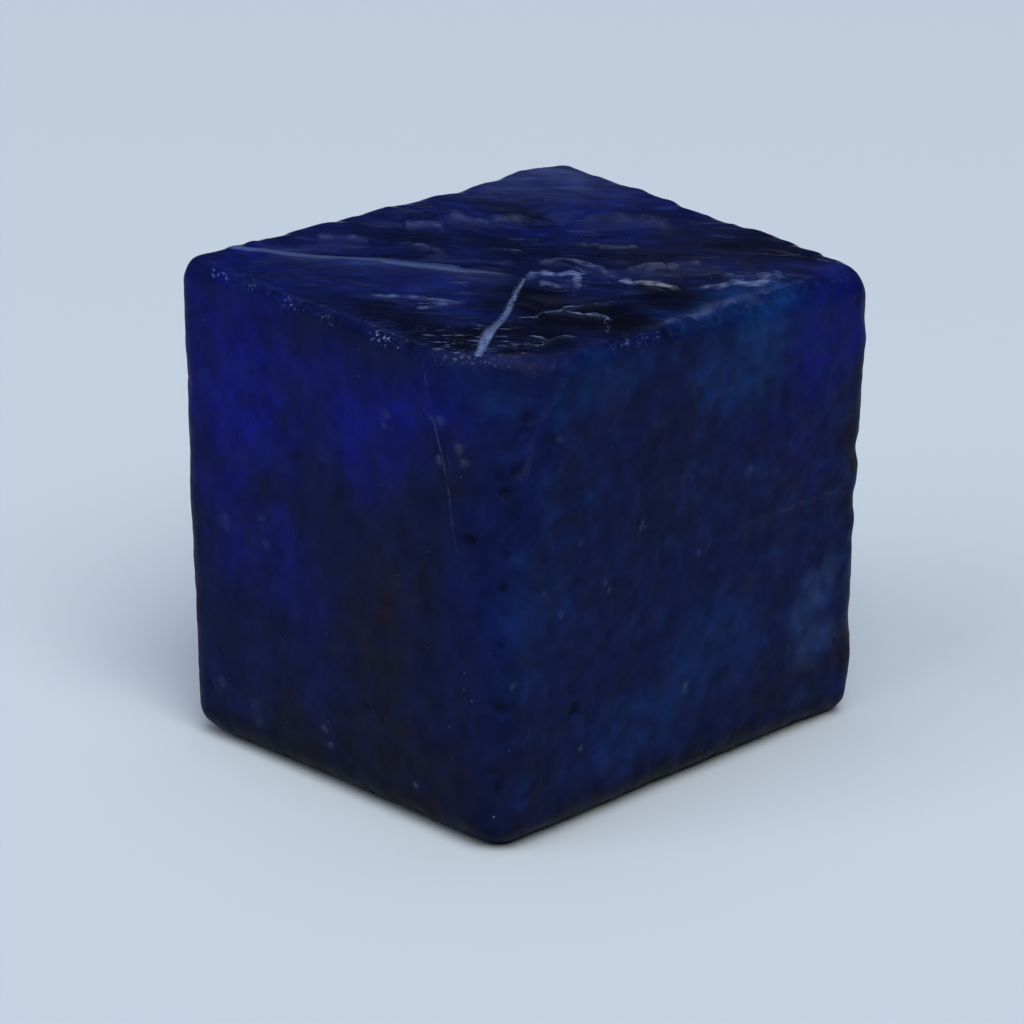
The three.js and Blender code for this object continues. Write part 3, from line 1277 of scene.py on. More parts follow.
@dataclass(frozen=True)
class ColourZones:
    """Where the crystal is brighter, greener, browner, cloudier or smokier, with painted shade in the trough
    behind the step. Lengths in mm.
    """

    ragged: Layer = Layer(3.0, 3)
    raggedness: float = 0.35  # of a patch's border, as a share of its reach
    border: Span = (0.25, 1.1)  # shares of its reach, from where a patch starts to fade to where it is gone

    def patches(self, zone: Zone) -> list[Patch]:
        """The patches of one zone."""
        # each row: middle; reach; strength
        rows = {
            Zone.ROYAL: (
                ((-6.0, -10.8, 15.5), (5.5, 6.0, 6.5), 0.85),
                ((1.5, -10.8, 16.5), (4.5, 3.0, 3.8), 0.8),
                ((5.0, -10.8, 17.0), (3.0, 3.0, 3.0), 0.5),
                ((-4.0, -10.8, 9.5), (4.5, 3.0, 4.5), 0.45),
                ((8.9, 8.2, 17.4), (3.0, 4.0, 3.4), 0.65),
                ((8.9, 6.5, 13.5), (3.0, 4.0, 4.0), 0.25),
                ((7.3, -10.4, 10.5), (2.0, 2.0, 2.5), 0.15),
                ((-8.9, 3.0, 12.0), (3.0, 6.0, 7.0), 0.8),
                ((-2.0, 10.8, 13.0), (6.0, 3.0, 5.0), 0.8),
                ((-4.6, 6.4, 20.1), (8.0, 7.0, 2.5), 0.15),
                ((-2.5, -5.6, 20.1), (7.0, 3.2, 1.5), 0.15),
            ),
            Zone.TEAL: (
                ((8.9, 2.9, 17.6), (2.0, 3.4, 3.2), 0.9),
                ((8.9, -5.5, 18.2), (1.5, 3.0, 1.4), 0.5),
                ((8.9, -2.7, 3.4), (2.0, 3.6, 2.2), 0.5),
                ((8.9, 1.5, 5.5), (2.0, 4.0, 3.0), 0.5),
                ((8.9, -8.5, 9.5), (2.0, 2.5, 4.0), 0.35),
                ((8.3, 4.0, 19.6), (1.5, 4.0, 1.5), 0.9),
                ((-8.9, -5.0, 7.0), (2.0, 4.0, 4.0), 0.5),
                ((3.0, 10.8, 6.0), (4.0, 2.0, 4.0), 0.5),
                ((7.8, -9.6, 18.4), (1.6, 1.6, 1.2), 0.3),
                ((8.0, 0.6, 19.7), (1.3, 3.0, 1.5), 0.7),
            ),
            Zone.UMBER: (
                ((2.5, -10.8, 6.3), (2.7, 3.0, 6.5), 0.75),
                ((3.6, -10.8, 2.6), (4.6, 3.0, 4.4), 0.8),
                ((4.0, -10.8, 10.5), (2.6, 2.0, 4.0), 0.4),
                ((0.5, -10.8, 0.3), (9.0, 2.5, 3.6), 0.8),
                ((8.9, 0.0, -0.2), (2.0, 14.0, 2.2), 1.0),
                ((6.6, -10.6, 15.4), (1.8, 1.6, 2.4), 0.6),
                ((8.9, 5.5, 2.6), (2.0, 4.0, 2.2), 0.35),
                ((8.9, -9.0, 3.0), (2.5, 3.0, 4.0), 0.4),
                ((8.9, -1.5, 13.5), (2.0, 3.0, 3.5), 0.3),
                ((8.9, 5.5, 12.0), (2.0, 3.5, 3.0), 0.35),
                ((-8.9, 0.0, 0.0), (2.0, 12.0, 2.0), 0.7),
                ((0.0, 10.8, 0.0), (9.5, 2.0, 2.0), 0.7),
                ((4.0, 7.6, 19.8), (6.0, 3.6, 2.0), 0.6),
                ((3.6, 3.4, 19.8), (4.0, 2.6, 2.0), 0.6),
                ((8.9, 9.9, 3.0), (1.5, 1.4, 1.6), 1.0),
                ((-6.0, 10.8, 8.0), (2.5, 2.0, 5.0), 0.6),
                ((-8.9, 7.0, 3.5), (2.0, 3.0, 3.0), 0.6),
                ((8.9, 10.8, 12.6), (3.0, 2.8, 5.2), 0.9),
                ((-8.9, -10.8, 12.5), (2.2, 2.0, 7.5), 0.45),
                ((5.1, 1.7, 19.8), (1.9, 1.1, 1.5), 0.9),
            ),
            Zone.VEIL: (
                ((8.9, 8.5, 6.9), (1.2, 0.9, 1.5), 0.8),
                ((8.9, 7.7, 6.1), (1.2, 1.1, 1.4), 0.8),
                ((8.9, 6.8, 5.4), (1.2, 1.2, 1.2), 0.7),
                ((8.9, 7.8, 4.0), (1.4, 1.8, 1.2), 0.6),
                ((-8.9, -3.0, 14.0), (1.5, 2.2, 2.0), 0.6),
                ((5.0, 10.8, 15.0), (2.0, 1.5, 2.5), 0.6),
            ),
            # smokier crystal in and round the hollow, and painted shade behind the step
            Zone.SMOKE: (
                ((4.2, -3.9, 19.8), (4.2, 3.2, 2.0), 1.0),
                ((6.2, -2.4, 19.8), (3.6, 3.4, 2.0), 1.0),
                ((6.8, 0.5, 19.7), (2.4, 2.4, 1.5), 0.9),
                ((6.0, -6.6, 19.8), (3.6, 2.6, 1.5), 0.9),
                ((4.6, -9.2, 19.8), (4.2, 2.2, 1.5), 1.0),
                ((1.6, -9.2, 19.8), (3.6, 1.8, 1.5), 0.7),
                ((7.4, -8.4, 19.6), (1.8, 2.8, 1.5), 0.9),
                # these three: painted shade in the trough behind the step
                ((-1.6, 0.2, 20.0), (3.4, 2.2, 1.5), 0.75),
                ((-4.6, -2.2, 20.0), (3.4, 2.0, 1.5), 0.65),
                ((1.6, 1.9, 20.0), (2.6, 2.0, 1.5), 0.5),
                ((-4.6, 3.7, 20.1), (2.6, 1.3, 1.5), 0.75),
                ((4.6, 8.6, 19.9), (3.4, 2.2, 1.5), 0.5),
            ),
        }
        return [Patch(*row) for row in rows[zone]]

    def mask(self, zone: Zone, places: Array, noise: LatticeNoise) -> Array:
        """How strongly a zone shows at each point, 0 to 1.

        Args:
            zone: which zone.
            places: points in mm, one a row.
            noise: what makes the patches ragged.

        Returns:
            One number for each point.
        """
        total = np.zeros(len(places))
        ragged = self.raggedness * self.ragged.at(places, noise)
        for patch in self.patches(zone):
            away = np.linalg.norm((places - patch.middle) / patch.reach, axis=1)
            total = np.maximum(total, patch.strength * (1.0 - smoothstep(away + ragged, *self.border)))
        return total


def linear(code: str) -> tuple[float, float, float, float]:
    """An sRGB hex colour as linear light, by the sRGB standard's own formula.

    Args:
        code: the colour, as "#rrggbb".

    Returns:
        Red, green and blue as linear light, and 1.
    """
    channels = [int(code[at : at + 2], 16) / 255 for at in (1, 3, 5)]
    light = [c / 12.92 if c <= 0.04045 else ((c + 0.055) / 1.055) ** 2.4 for c in channels]
    return (*light, 1.0)


@dataclass(frozen=True)
class Mottling:
    """A pattern of noise: its grain in mm, and the numbers that it gives.

    The grain of streaks is their length, width and thickness, and they run along the break's own grain
    unless they say otherwise.
    """

    grain: float | Place
    gives: Span = (0.0, 1.0)
    noise: Span = (0.3, 0.7)  # what gives them: nearly all values of a noise node lie between these
    detail: float = 2.0
    heading: float = GRAIN_HEADING  # degrees


class CrystalColour:
    """The crystal's body colour as nodes, which both finishes of the stone share. Lengths in mm.

    Zoisite is strongly coloured all through: deep navy with purer blue, greener and browner zones.
    """

    NAVY = "#0b143d"
    TEAL = "#0b2a5c"
    # dark smoky crystal, and the painted shade in the trough behind the step
    SMOKE = "#040514"
    # pale crushed stone, and the colour of painted sheen, glints and highlights
    FROST = "#6a7aa4"
    SAND = "#85878f"
    ZONES = (  # each zone's colour, and the grain of its broken border
        (Zone.ROYAL, "#0a126a", 1.4),
        (Zone.TEAL, TEAL, 0.9),
        (Zone.UMBER, "#14141f", 1.2),
        (Zone.VEIL, "#22365f", 0.7),
    )
    ZONE_SHARES = (0.6, 1.2)  # of a zone's strength, where its border is broken up
    BLOTCHES = Mottling(1.1, (0.0, 0.45), (0.46, 0.76), detail=5.0)
    CLOUDS = Mottling(1.5, (0.78, 1.22), detail=4.0)
    FLECKS = Mottling(0.5, (0.86, 1.14), detail=4.0)
    FLUTES = Mottling((1.1, 1.1, 9.0), (-0.08, 0.08), heading=0.0)  # growth lines up the sides
    # painted shade: pits darker by their depth, and the foot darker towards the bottom
    PIT_SHADE = 0.5
    FOOT_SHADE = 0.5
    # pale specks, partly painted sparkles
    SPECK_SPACING = 0.4
    SPECK_RADIUS = 0.05
    SPECK_CORE = 0.4  # of its radius
    SPECK_SHARE = 0.12  # of the cells
    SPECK_CLUMPS = Mottling(0.9, (0.2, 0.75), (0.4, 0.6))
    LINE_BORDER = (0.4, 1.7)  # half widths, from where a frosted line starts to fade to where it is gone
    GAPS = Mottling((0.5, 0.09, 0.09), (0.35, 1.1), (0.35, 0.62))
    GAP_CLOUDS = Mottling(0.7, (0.2, 1.3), (0.37, 0.6))
    STEADY = (0.0, 0.8)  # mask, from a line with gaps to one without
    STEADY_STRENGTH = 0.5
    CRUSH = Mottling(0.25, (0.12, 0.3))
    # bright rim grains, partly painted glints
    CRUMBS_AND_GLINTS = Mottling(0.15, noise=(0.56, 0.64))
    CRUMB_CLUMPS = Mottling(1.7, noise=(0.46, 0.6), detail=3.0)
    MASKS = (
        "royal", "teal", "umber", "veil", "peel", "pit", "foot",
        "specks", "line", "frost", "steady", "grain", "rim",
    )

    def __init__(self, tree: bpy.types.NodeTree, masks: tuple[str, ...]) -> None:
        """Starts with the places on the stone and the mesh's masks.

        Args:
            tree: the material's node tree.
            masks: the names of the masks that only one finish reads.
        """
        self.tree = tree
        place = self.add("TexCoord", output="Object")
        self.mm = self.add("Mapping", place, None, None, (MM_PER_M,) * 3)
        self.masks = {
            name: self.add("Attribute", attribute_name=name, output="Fac") for name in self.MASKS + masks
        }

    def add(self, kind: str, *values: object, output: str = "", **settings: object) -> Socket:
        """Adds a node with its settings and links.

        Args:
            kind: the node's type, without the leading "ShaderNode".
            values: for its inputs in order, a value or a linked output. None leaves an input as it is.
            output: the name of the output that is wanted, if it isn't the first.
            settings: the node's own properties.

        Returns:
            The output.
        """
        node = self.tree.nodes.new("ShaderNode" + kind)
        for name, value in settings.items():
            setattr(node, name, value)
        for socket, value in zip([socket for socket in node.inputs if socket.enabled], values):
            if isinstance(value, Socket):
                self.tree.links.new(value, socket)
            elif value is not None:
                socket.default_value = value
        return node.outputs[output] if output else next(out for out in node.outputs if out.enabled)

    def pattern(self, mottling: Mottling) -> Socket:
        """Lays a pattern through the crystal.

        Args:
            mottling: which pattern.

        Returns:
            The output that carries its numbers.
        """
        where, scale = self.mm, 1.0
        if isinstance(mottling.grain, float):
            scale = 1.0 / mottling.grain
        else:
            turn = (0.0, 0.0, math.radians(mottling.heading))
            where = self.add("Mapping", self.mm, None, turn, mottling.grain, vector_type="TEXTURE")
        noise = self.add("TexNoise", where, scale, mottling.detail)
        return self.add("MapRange", noise, *mottling.noise, *mottling.gives, **EASED)

    def fold(self, operation: str, first: object, *others: object) -> Socket:
        """Takes several numbers or outputs together, one after the other.

        Args:
            operation: such as "MULTIPLY" or "MAXIMUM".
            first: the first number or output.
            others: the other ones.

        Returns:
            The output that carries the result.
        """
        for other in others:
            first = self.add("Math", first, other, operation=operation)
        return first

    def body(self) -> Socket:
        """The colour of the crystal, with its zones and cloudy mottling, and painted shade that darkens pits
        by their depth and the foot towards the bottom.

        Returns:
            The output that carries it.
        """
        colour = linear(self.NAVY)
        for zone, tint, grain in self.ZONES:
            broken = self.pattern(Mottling(grain, self.ZONE_SHARES, detail=3.0))
            amount = self.fold("MULTIPLY", self.masks[zone.value], broken)
            colour = self.add("Mix", amount, colour, linear(tint), **COLOURS)
        peel = self.masks["peel"]
        blotched = self.fold("MULTIPLY", self.pattern(self.BLOTCHES), peel)
        colour = self.add("Mix", blotched, colour, linear(self.TEAL), **COLOURS)
        smooth = self.fold("SUBTRACT", 1.0, peel)
        shade = self.fold(
            "MULTIPLY",
            self.pattern(self.CLOUDS),
            self.pattern(self.FLECKS),
            self.add("Math", self.pattern(self.FLUTES), smooth, 1.0, operation="MULTIPLY_ADD"),
            # painted shade: darker in pits by their depth, and towards the foot
            self.add("MapRange", self.masks["pit"], 0.0, 1.0, 1.0, self.PIT_SHADE, **EASED),
            self.add("MapRange", self.masks["foot"], 0.0, 1.0, 1.0, self.FOOT_SHADE, **EASED),
        )
        return self.add("VectorMath", colour, shade, operation="SCALE")

    def bruises_and_glints(self) -> Socket:
        """How crushed and pale the stone is, partly as painted glints and sparkles: specks, frosted lines,
        and grains along the broken rim.

        Returns:
            An output that runs from 0 to 1.
        """
        away = self.add("Math", self.masks["line"], operation="ABSOLUTE")
        line = self.add("MapRange", away, *self.LINE_BORDER, 1.0, 0.0, **EASED)
        line = self.fold("MULTIPLY", line, self.masks["frost"], self.torn_up())
        crushed = self.fold("MULTIPLY", self.masks["grain"], self.pattern(self.CRUSH))
        return self.fold("MAXIMUM", self.specks(), line, crushed, self.crumbs_and_glints())

    def torn_up(self) -> Socket:
        """Gaps in the frosted lines, but for the steady one: fine ones along the grain, and wider clouds.

        Returns:
            An output that multiplies the lines' strength.
        """
        gaps = self.fold("MULTIPLY", self.pattern(self.GAPS), self.pattern(self.GAP_CLOUDS))
        return self.add("MapRange", self.masks["steady"], *self.STEADY, gaps, self.STEADY_STRENGTH, **EASED)

    def frost(self) -> Socket:
        """The colour of crushed stone: pale blue, or sandy where the crystal is brown; also the colour of
        painted sheen, glints and highlights.
        """
        return self.add("Mix", self.masks["umber"], linear(self.FROST), linear(self.SAND), **COLOURS)

    def crumbs_and_glints(self) -> Socket:
        """Bright grains strung along the broken rim, about 0.1 mm across: crushed grains, partly painted
        glints.
        """
        grains = self.pattern(self.CRUMBS_AND_GLINTS)
        return self.fold("MULTIPLY", grains, self.pattern(self.CRUMB_CLUMPS), self.masks["rim"])

    def specks(self) -> Socket:
        """Small round pale specks, partly crushed grains and partly painted sparkles, in some cells of a grid
        of their spacing.

        Returns:
            An output that runs from 0 to 1.
        """
        away = self.add("TexVoronoi", self.mm, 1.0 / self.SPECK_SPACING)
        draw = self.add("SeparateColor", away.node.outputs["Color"])
        radius = self.SPECK_RADIUS / self.SPECK_SPACING
        spot = self.add("MapRange", away, self.SPECK_CORE * radius, radius, 1.0, 0.0, **EASED)
        chosen = self.add("Math", draw, 1.0 - self.SPECK_SHARE, operation="GREATER_THAN")
        return self.fold("MULTIPLY", spot, chosen, self.masks["specks"], self.pattern(self.SPECK_CLUMPS))


@dataclass(frozen=True)
class StoneFinish:
    """What the stone's finishes share: zoisite's IOR, and dimples too fine for the mesh. Lengths in mm."""

    name: str
    masks: tuple[str, ...]  # that only this finish reads
    specular_level: float
    dimples: float  # between the finest dimples
    dimple_strength: float
    dimple_depth: float = 0.01
    dimple_detail: float = 2.0
    ior: float = 1.69

    def look(self, stone: CrystalColour) -> tuple[Socket, Socket]:
        """The finish's colour and its roughness."""
        raise NotImplementedError

    def material(self) -> bpy.types.Material:
        """Makes the finish.

        Returns:
            The material.
        """
        material = bpy.data.materials.new(self.name)
        material.use_nodes = True
        tree = material.node_tree
        shader = tree.nodes["Principled BSDF"]
        stone = CrystalColour(tree, self.masks)
        colour, rough = self.look(stone)
        dimples = stone.add("TexNoise", stone.mm, 1.0 / self.dimples, self.dimple_detail)
        bump = stone.add("Bump", self.dimple_strength, self.dimple_depth / MM_PER_M, None, dimples)
        for name, output in (("Base Color", colour), ("Roughness", rough), ("Normal", bump)):
            tree.links.new(output, shader.inputs[name])
        shader.inputs["IOR"].default_value = self.ior
        shader.inputs["Specular IOR Level"].default_value = self.specular_level
        return material


@dataclass(frozen=True)
class WornSkinFinish(StoneFinish):
    """Tumbled zoisite: a satin skin, ground fine by wear, that scatters blue and hides the depth."""

    name: str = "worn zoisite skin"
    masks: tuple[str, ...] = ()
    specular_level: float = 0.03
    dimples: float = 0.25  # drawn coarser than the real 0.05
    dimple_strength: float = 0.5
    roughness: Mottling = Mottling(0.8, (0.42, 0.58), detail=3.0)

    def look(self, stone: CrystalColour) -> tuple[Socket, Socket]:
        """The crystal's colour with its pale crushed marks, partly painted sparkles and glints, and a
        roughness that varies from place to place.
        """
        colour = stone.add("Mix", stone.bruises_and_glints(), stone.body(), stone.frost(), **COLOURS)
        return colour, stone.pattern(self.roughness)


@dataclass(frozen=True)
class FreshBreakFinish(StoneFinish):
    """Freshly broken zoisite: a conchoidal, glassy surface that glints on ridges and is deep between, with
    painted glints, sheen and shade in its colour.
    """

    name: str = "fresh zoisite break"
    masks: tuple[str, ...] = ("smoke_and_shade", "painted_sheen", "scar", "torn")
    specular_level: float = 0.08
    dimples: float = 0.2
    dimple_strength: float = 0.3
    glassy: float = 0.27  # roughness
    crushed: float = 0.6  # roughness of what is drawn pale: crushed stone, painted sheen and painted glints
    # painted light and shade streaked along the ripples
    ripple_shading: Mottling = Mottling((2.6, 0.7, 0.7), (0.85, 1.35))
    # breaks up the painted sheen
    clouds: Mottling = Mottling((1.6, 0.5, 0.5), (0.5, 1.4))
    fray: Mottling = Mottling((0.45, 0.07, 0.07), (-0.06, 0.05))
    powder: Mottling = Mottling((1.8, 0.07, 0.07), (0.5, 0.9), heading=-56.0)
    scar_border: Span = (-0.04, 0.12)
    # painted glints along the hackles
    strokes: Mottling = Mottling((0.75, 0.085, 0.085), noise=(0.6, 0.69))
    stroke_strength: float = 0.65
    # wide painted gleams
    gleams: Mottling = Mottling((1.9, 0.35, 0.35), (0.0, 0.09), (0.57, 0.76))

    def look(self, stone: CrystalColour) -> tuple[Socket, Socket]:
        """The crystal's colour, smoky and with painted shade behind the step, streaked with painted ripple
        light and shade, under what is crushed white or painted sheen and glints, which is also rougher.

        Args:
            stone: the crystal's nodes.

        Returns:
            The two outputs.
        """
        # smoky crystal, and painted shade in the trough behind the step
        smoke_and_shade = linear(CrystalColour.SMOKE)
        colour = stone.add("Mix", stone.masks["smoke_and_shade"], stone.body(), smoke_and_shade, **COLOURS)
        # painted light and shade streaked along the ripples
        colour = stone.add("VectorMath", colour, stone.pattern(self.ripple_shading), operation="SCALE")
        # painted sheen and rim highlight, broken into clouds
        painted_sheen = stone.fold("MULTIPLY", stone.masks["painted_sheen"], stone.pattern(self.clouds))
        # what is drawn pale: painted sheen, the crushed scar, painted glints, and crushed marks that are
        # partly painted glints
        white = stone.fold("MAXIMUM", painted_sheen, self.scar(stone), self.glints(stone), stone.bruises_and_glints())
        rough = stone.add("MapRange", white, 0.0, 1.0, self.glassy, self.crushed, **EASED)
        return stone.add("Mix", white, colour, stone.frost(), **COLOURS), rough

    def scar(self, stone: CrystalColour) -> Socket:
        """The crushed scar: white powder in lengthwise streaks, frayed along the grain of the break.

        Args:
            stone: the crystal's nodes.

        Returns:
            An output that runs from 0 to 1.
        """
        frayed = stone.fold("ADD", stone.masks["scar"], stone.pattern(self.fray))
        cover = stone.add("MapRange", frayed, *self.scar_border, 0.0, 1.0, **EASED)
        return stone.fold("MULTIPLY", cover, stone.pattern(self.powder))

    def glints(self, stone: CrystalColour) -> Socket:
        """Painted glints: short bright strokes painted along the break's grain where hackles catch the light,
        and wide painted gleams.

        Args:
            stone: the crystal's nodes.

        Returns:
            An output that runs from 0 to 1.
        """
        torn = stone.add("MapRange", stone.masks["torn"], 0.0, 1.0, 0.0, self.stroke_strength, **EASED)
        strokes = stone.fold("MULTIPLY", stone.pattern(self.strokes), torn)
        clear = stone.fold("SUBTRACT", 1.0, stone.masks["smoke_and_shade"])
        return stone.fold("MAXIMUM", strokes, stone.fold("MULTIPLY", stone.pattern(self.gleams), clear))


@dataclass(frozen=True)
class BreakBorder:
    """The border between the broken top and the worn sides, and the bruised rim along it, whose bright grains
    are partly painted glints. In mm.
    """

    top: BrokenTop
    ragged: Layer = Layer(0.6, shift=33.0)
    ragged_facing: float = 0.06
    ragged_height: float = 0.12
    fresh_facing: Span = (0.84, 0.95)  # upward share of an outward direction, from worn to fresh
    fresh_above: Span = (-0.5, -0.3)  # over the top's flat plane, or over the floor of its hollow
    # the bruised rim band, whose bright grains are partly painted glints
    rim_drop: float = 0.26  # of the bruised band, below the top's flat plane
    rim_spread: float = 0.15
    rim_strength: float = 0.9
    rim_facing: Span = (0.15, 0.5)  # sideways share of an outward direction, from sound to bruised
    rim_on_right: float = 0.3
    rim_on_right_middle: float = -5.0  # along Y
    rim_on_right_reach: float = 10.0
    rim_least: float = 0.06
    bare_corner: Plan = (7.3, -9.4)
    bare_reach: float = 3.0
    bareness: float = 0.8
    specks_middle: Plan = (8.9, -10.8)
    specks_reach: Plan = (4.5, 3.5)
    specks_least: float = 0.3

    def fresh(self, places: Array, normals: Array, noise: LatticeNoise) -> Array:
        """How freshly broken the stone is, 0 to 1, down to a ragged border just below the rim.

        Args:
            places: points in mm, one a row.
            normals: the form's outward directions there.
            noise: what makes the border ragged.

        Returns:
            One number for each point.
        """
        ragged = self.ragged.at(places, noise)
        level = smoothstep(normals[:, 2] + self.ragged_facing * ragged, *self.fresh_facing)
        sunk = np.minimum(self.top.block_height(places[:, :2]), 0.0)
        above = self.top.form.below_top(places) - sunk + self.ragged_height * ragged
        return smoothstep(above, *self.fresh_above) * level

    def rim(self, places: Array, normals: Array) -> Array:
        """How bruised the rim is, where its bright grains are partly painted glints: most over the -Y side,
        less over +X, and little at the worn corner.

        Args:
            places: points in mm, one a row.
            normals: the form's outward directions there.

        Returns:
            0 to 1 for each point.
        """
        plan = places[:, :2]
        near = dome((plan[:, 1] - self.rim_on_right_middle) / self.rim_on_right_reach)
        right = self.rim_on_right * smoothstep(normals[:, 0], *self.rim_facing) * near
        bruised = np.maximum(smoothstep(-normals[:, 1], *self.rim_facing), right)
        corner = around(plan, self.bare_corner, self.bare_reach)
        band = np.exp(-(((self.top.form.below_top(places) + self.rim_drop) / self.rim_spread) ** 2))
        strength = self.rim_strength * band * np.maximum(bruised, self.rim_least)
        return strength * (1.0 - self.bareness * corner)

    def specks(self, plan: Array) -> Array:
        """How thickly the stone is specked with pale crushed grains and painted sparkles, 0 to 1: most of all
        along the front upright edge.
        """
        near = around(plan, self.specks_middle, self.specks_reach)
        return self.specks_least + (1.0 - self.specks_least) * near


@dataclass
class TanzaniteBlock:
    """The stone itself: one closed mesh with its worn sides and its broken top. Lengths in mm."""

    name: str = "tanzanite_block"
    most_triangles: int = 198_000
    seed: int = 7
    skin_facing: Span = (0.75, 0.97)  # upward share of an outward direction, where the skin's relief fades
    least_skin: float = 0.25
    flat_foot: float = 0.25  # height over which the relief starts, so that the stone rests flat
    break_facing: Span = (0.55, 0.95)
    marks_facing: Span = (0.3, 0.6)  # from the sides' marks to the top's
    line_facing: float = 0.5
    scar_facing: float = 0.2
    # pit depth at which its painted shade is full
    deepest_pit: float = 0.08
    foot_shade_height: float = 2.6  # of the painted shade that darkens the foot

    def __post_init__(self) -> None:
        """Sets up the parts that the surface is worked out from."""
        self.form = BlockForm()
        self.top = BrokenTop(self.form)
        self.border = BreakBorder(self.top)
        self.skin = WornSkin(self.form)
        self.zones = ColourZones()
        self.noise = LatticeNoise(self.seed)
        self.low = np.zeros(3)
        self.scale = np.ones(3)
        self.origin = np.zeros(3)

    def fine_surface(self) -> tuple[Array, Array]:
        """Every point of the surface in mm, before it is thinned out, and its square cells.

        Returns:
            The points, and each cell's four points by row number.
        """
        shell, quads = self.form.lattice()
        places, outward = self.form.surface(shell)
        plan = places[:, :2]
        upward = np.maximum(outward[:, 2], 0.0) ** 2
        surface = places.copy()
        surface[:, 2] += upward * self.top.block_height(plan)
        surface += outward * (1.0, 1.0, 0.0) * self.skin.scallop_relief(surface)[:, None]
        self.fit(surface)
        normals = self.form.normal(places)
        skin = self.skin.relief(places, normals, self.noise)
        topside = np.flatnonzero(upward > 0.0)
        height = np.zeros(len(places))
        height[topside] = self.top.relief(places[topside], self.noise)[0]
        height -= self.top.block_height(plan) * (upward > 0.0)
        worn = 1.0 - smoothstep(normals[:, 2], *self.skin_facing)
        clear = smoothstep(places[:, 2], 0.0, self.flat_foot)
        surface[:, 2] += smoothstep(normals[:, 2], *self.break_facing) * height
        surface += normals * (skin * np.maximum(worn, self.least_skin) * clear)[:, None]
        surface[:, 2] = np.maximum(surface[:, 2], 0.0)
        return surface, quads

    def fit(self, places: Array) -> None:
        """Works out how mm in the stone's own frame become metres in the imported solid's box.

        Args:
            places: the rounded form's points, without its fine relief.
        """
        low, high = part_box(NODE)
        self.low = places.min(0)
        self.scale = (np.array(high) - np.array(low)) / (places.max(0) - self.low)
        self.origin = np.array(low)

    def to_metres(self, places: Array) -> Array:
        """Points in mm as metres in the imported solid's frame."""
        return self.origin + (places - self.low) * self.scale

    def thin_out(self, places: Array, quads: Array) -> bpy.types.Mesh:
        """Merges cells where the surface is plain, down to the most triangles that the piece may have.

        Args:
            places: points in mm, one a row.
            quads: each cell's four points by row number.

        Returns:
            A mesh of triangles, still in mm.
        """
        fine = bpy.data.meshes.new("fine surface")
        fine.vertices.add(len(places))
        fine.vertices.foreach_set("co", places.ravel())
        fine.loops.add(quads.size)
        fine.loops.foreach_set("vertex_index", quads.ravel())
        fine.polygons.add(len(quads))
        fine.polygons.foreach_set("loop_start", np.arange(0, quads.size, 4))
        fine.update(calc_edges=True)
        holder = bpy.data.objects.new("fine surface", fine)
        bpy.context.scene.collection.objects.link(holder)
        thinner = holder.modifiers.new("thin out", "DECIMATE")
        thinner.ratio = self.most_triangles / (2 * len(quads))
        thinner.use_collapse_triangulate = True
        graph = bpy.context.evaluated_depsgraph_get()
        mesh = bpy.data.meshes.new_from_object(holder.evaluated_get(graph))
        bpy.data.objects.remove(holder)
        bpy.data.meshes.remove(fine)
        return mesh

    def masks(self, places: Array) -> dict[str, Array]:
        """Every mask that the finishes read, for points on the stone in mm.

        Args:
            places: points in mm, one a row.

        Returns:
            For each mask's name, one number for each point.
        """
        plan = places[:, :2]
        normals = self.form.normal(places)
        topness = smoothstep(normals[:, 2], *self.marks_facing)
        lines = self.top.relief(places, self.noise)[1]
        seams = self.skin.seams(places, normals)
        on_top = topness > self.line_facing
        pits, grains = self.skin.pressed(places, self.noise)
        masks = {zone.value: self.zones.mask(zone, places, self.noise) for zone in Zone}
        # the smoky patches, joined by painted shade in the trough behind the step
        smoke_and_shade = Zone.SMOKE.value
        masks[smoke_and_shade] = np.maximum(masks[smoke_and_shade], self.top.trough_shade(plan) * topness)
        return masks | {
            "fresh": self.border.fresh(places, normals, self.noise),
            "rim": self.border.rim(places, normals),
            "specks": self.border.specks(plan),
            "frost": np.where(on_top, lines.frost * topness, seams.frost * (1.0 - topness)),
            "line": np.where(on_top, lines.offset, seams.offset),
            "steady": self.top.steady(plan) * topness,
            "scar": np.where(topness > self.scar_facing, self.top.scar(plan), -1.0),
            # painted sheen and rim highlight
            "painted_sheen": self.top.painted_sheen(plan) * topness,
            "torn": self.top.torn(plan) * topness,
            # painted shade in pits, by their depth
            "pit": np.clip(pits / self.deepest_pit, 0.0, 1.0),
            "grain": grains,
            # painted shade, darker towards the bottom
            "foot": 1.0 - smoothstep(places[:, 2], 0.0, self.foot_shade_height),
            "peel": self.skin.peel(normals),
        }

    def build(self) -> bpy.types.Object:
        """Makes the mesh, its masks and its finishes, and puts it in the scene.

        Returns:
            The stone.
        """
        places, quads = self.fine_surface()
        mesh = self.thin_out(places, quads)
        mesh.name = self.name
        points = np.zeros(3 * len(mesh.vertices))
        mesh.vertices.foreach_get("co", points)
        points = points.reshape(-1, 3)
        for name, values in self.masks(points).items():
            mask = mesh.attributes.new(name, "FLOAT", "POINT")
            mask.data.foreach_set("value", values.astype(np.float32))
        mesh.vertices.foreach_set("co", self.to_metres(points).ravel())
        mesh.update()
        mesh.shade_smooth()
        stone = bpy.data.objects.new(self.name, mesh)
        bpy.context.scene.collection.objects.link(stone)
        self.dress(mesh)
        return stone

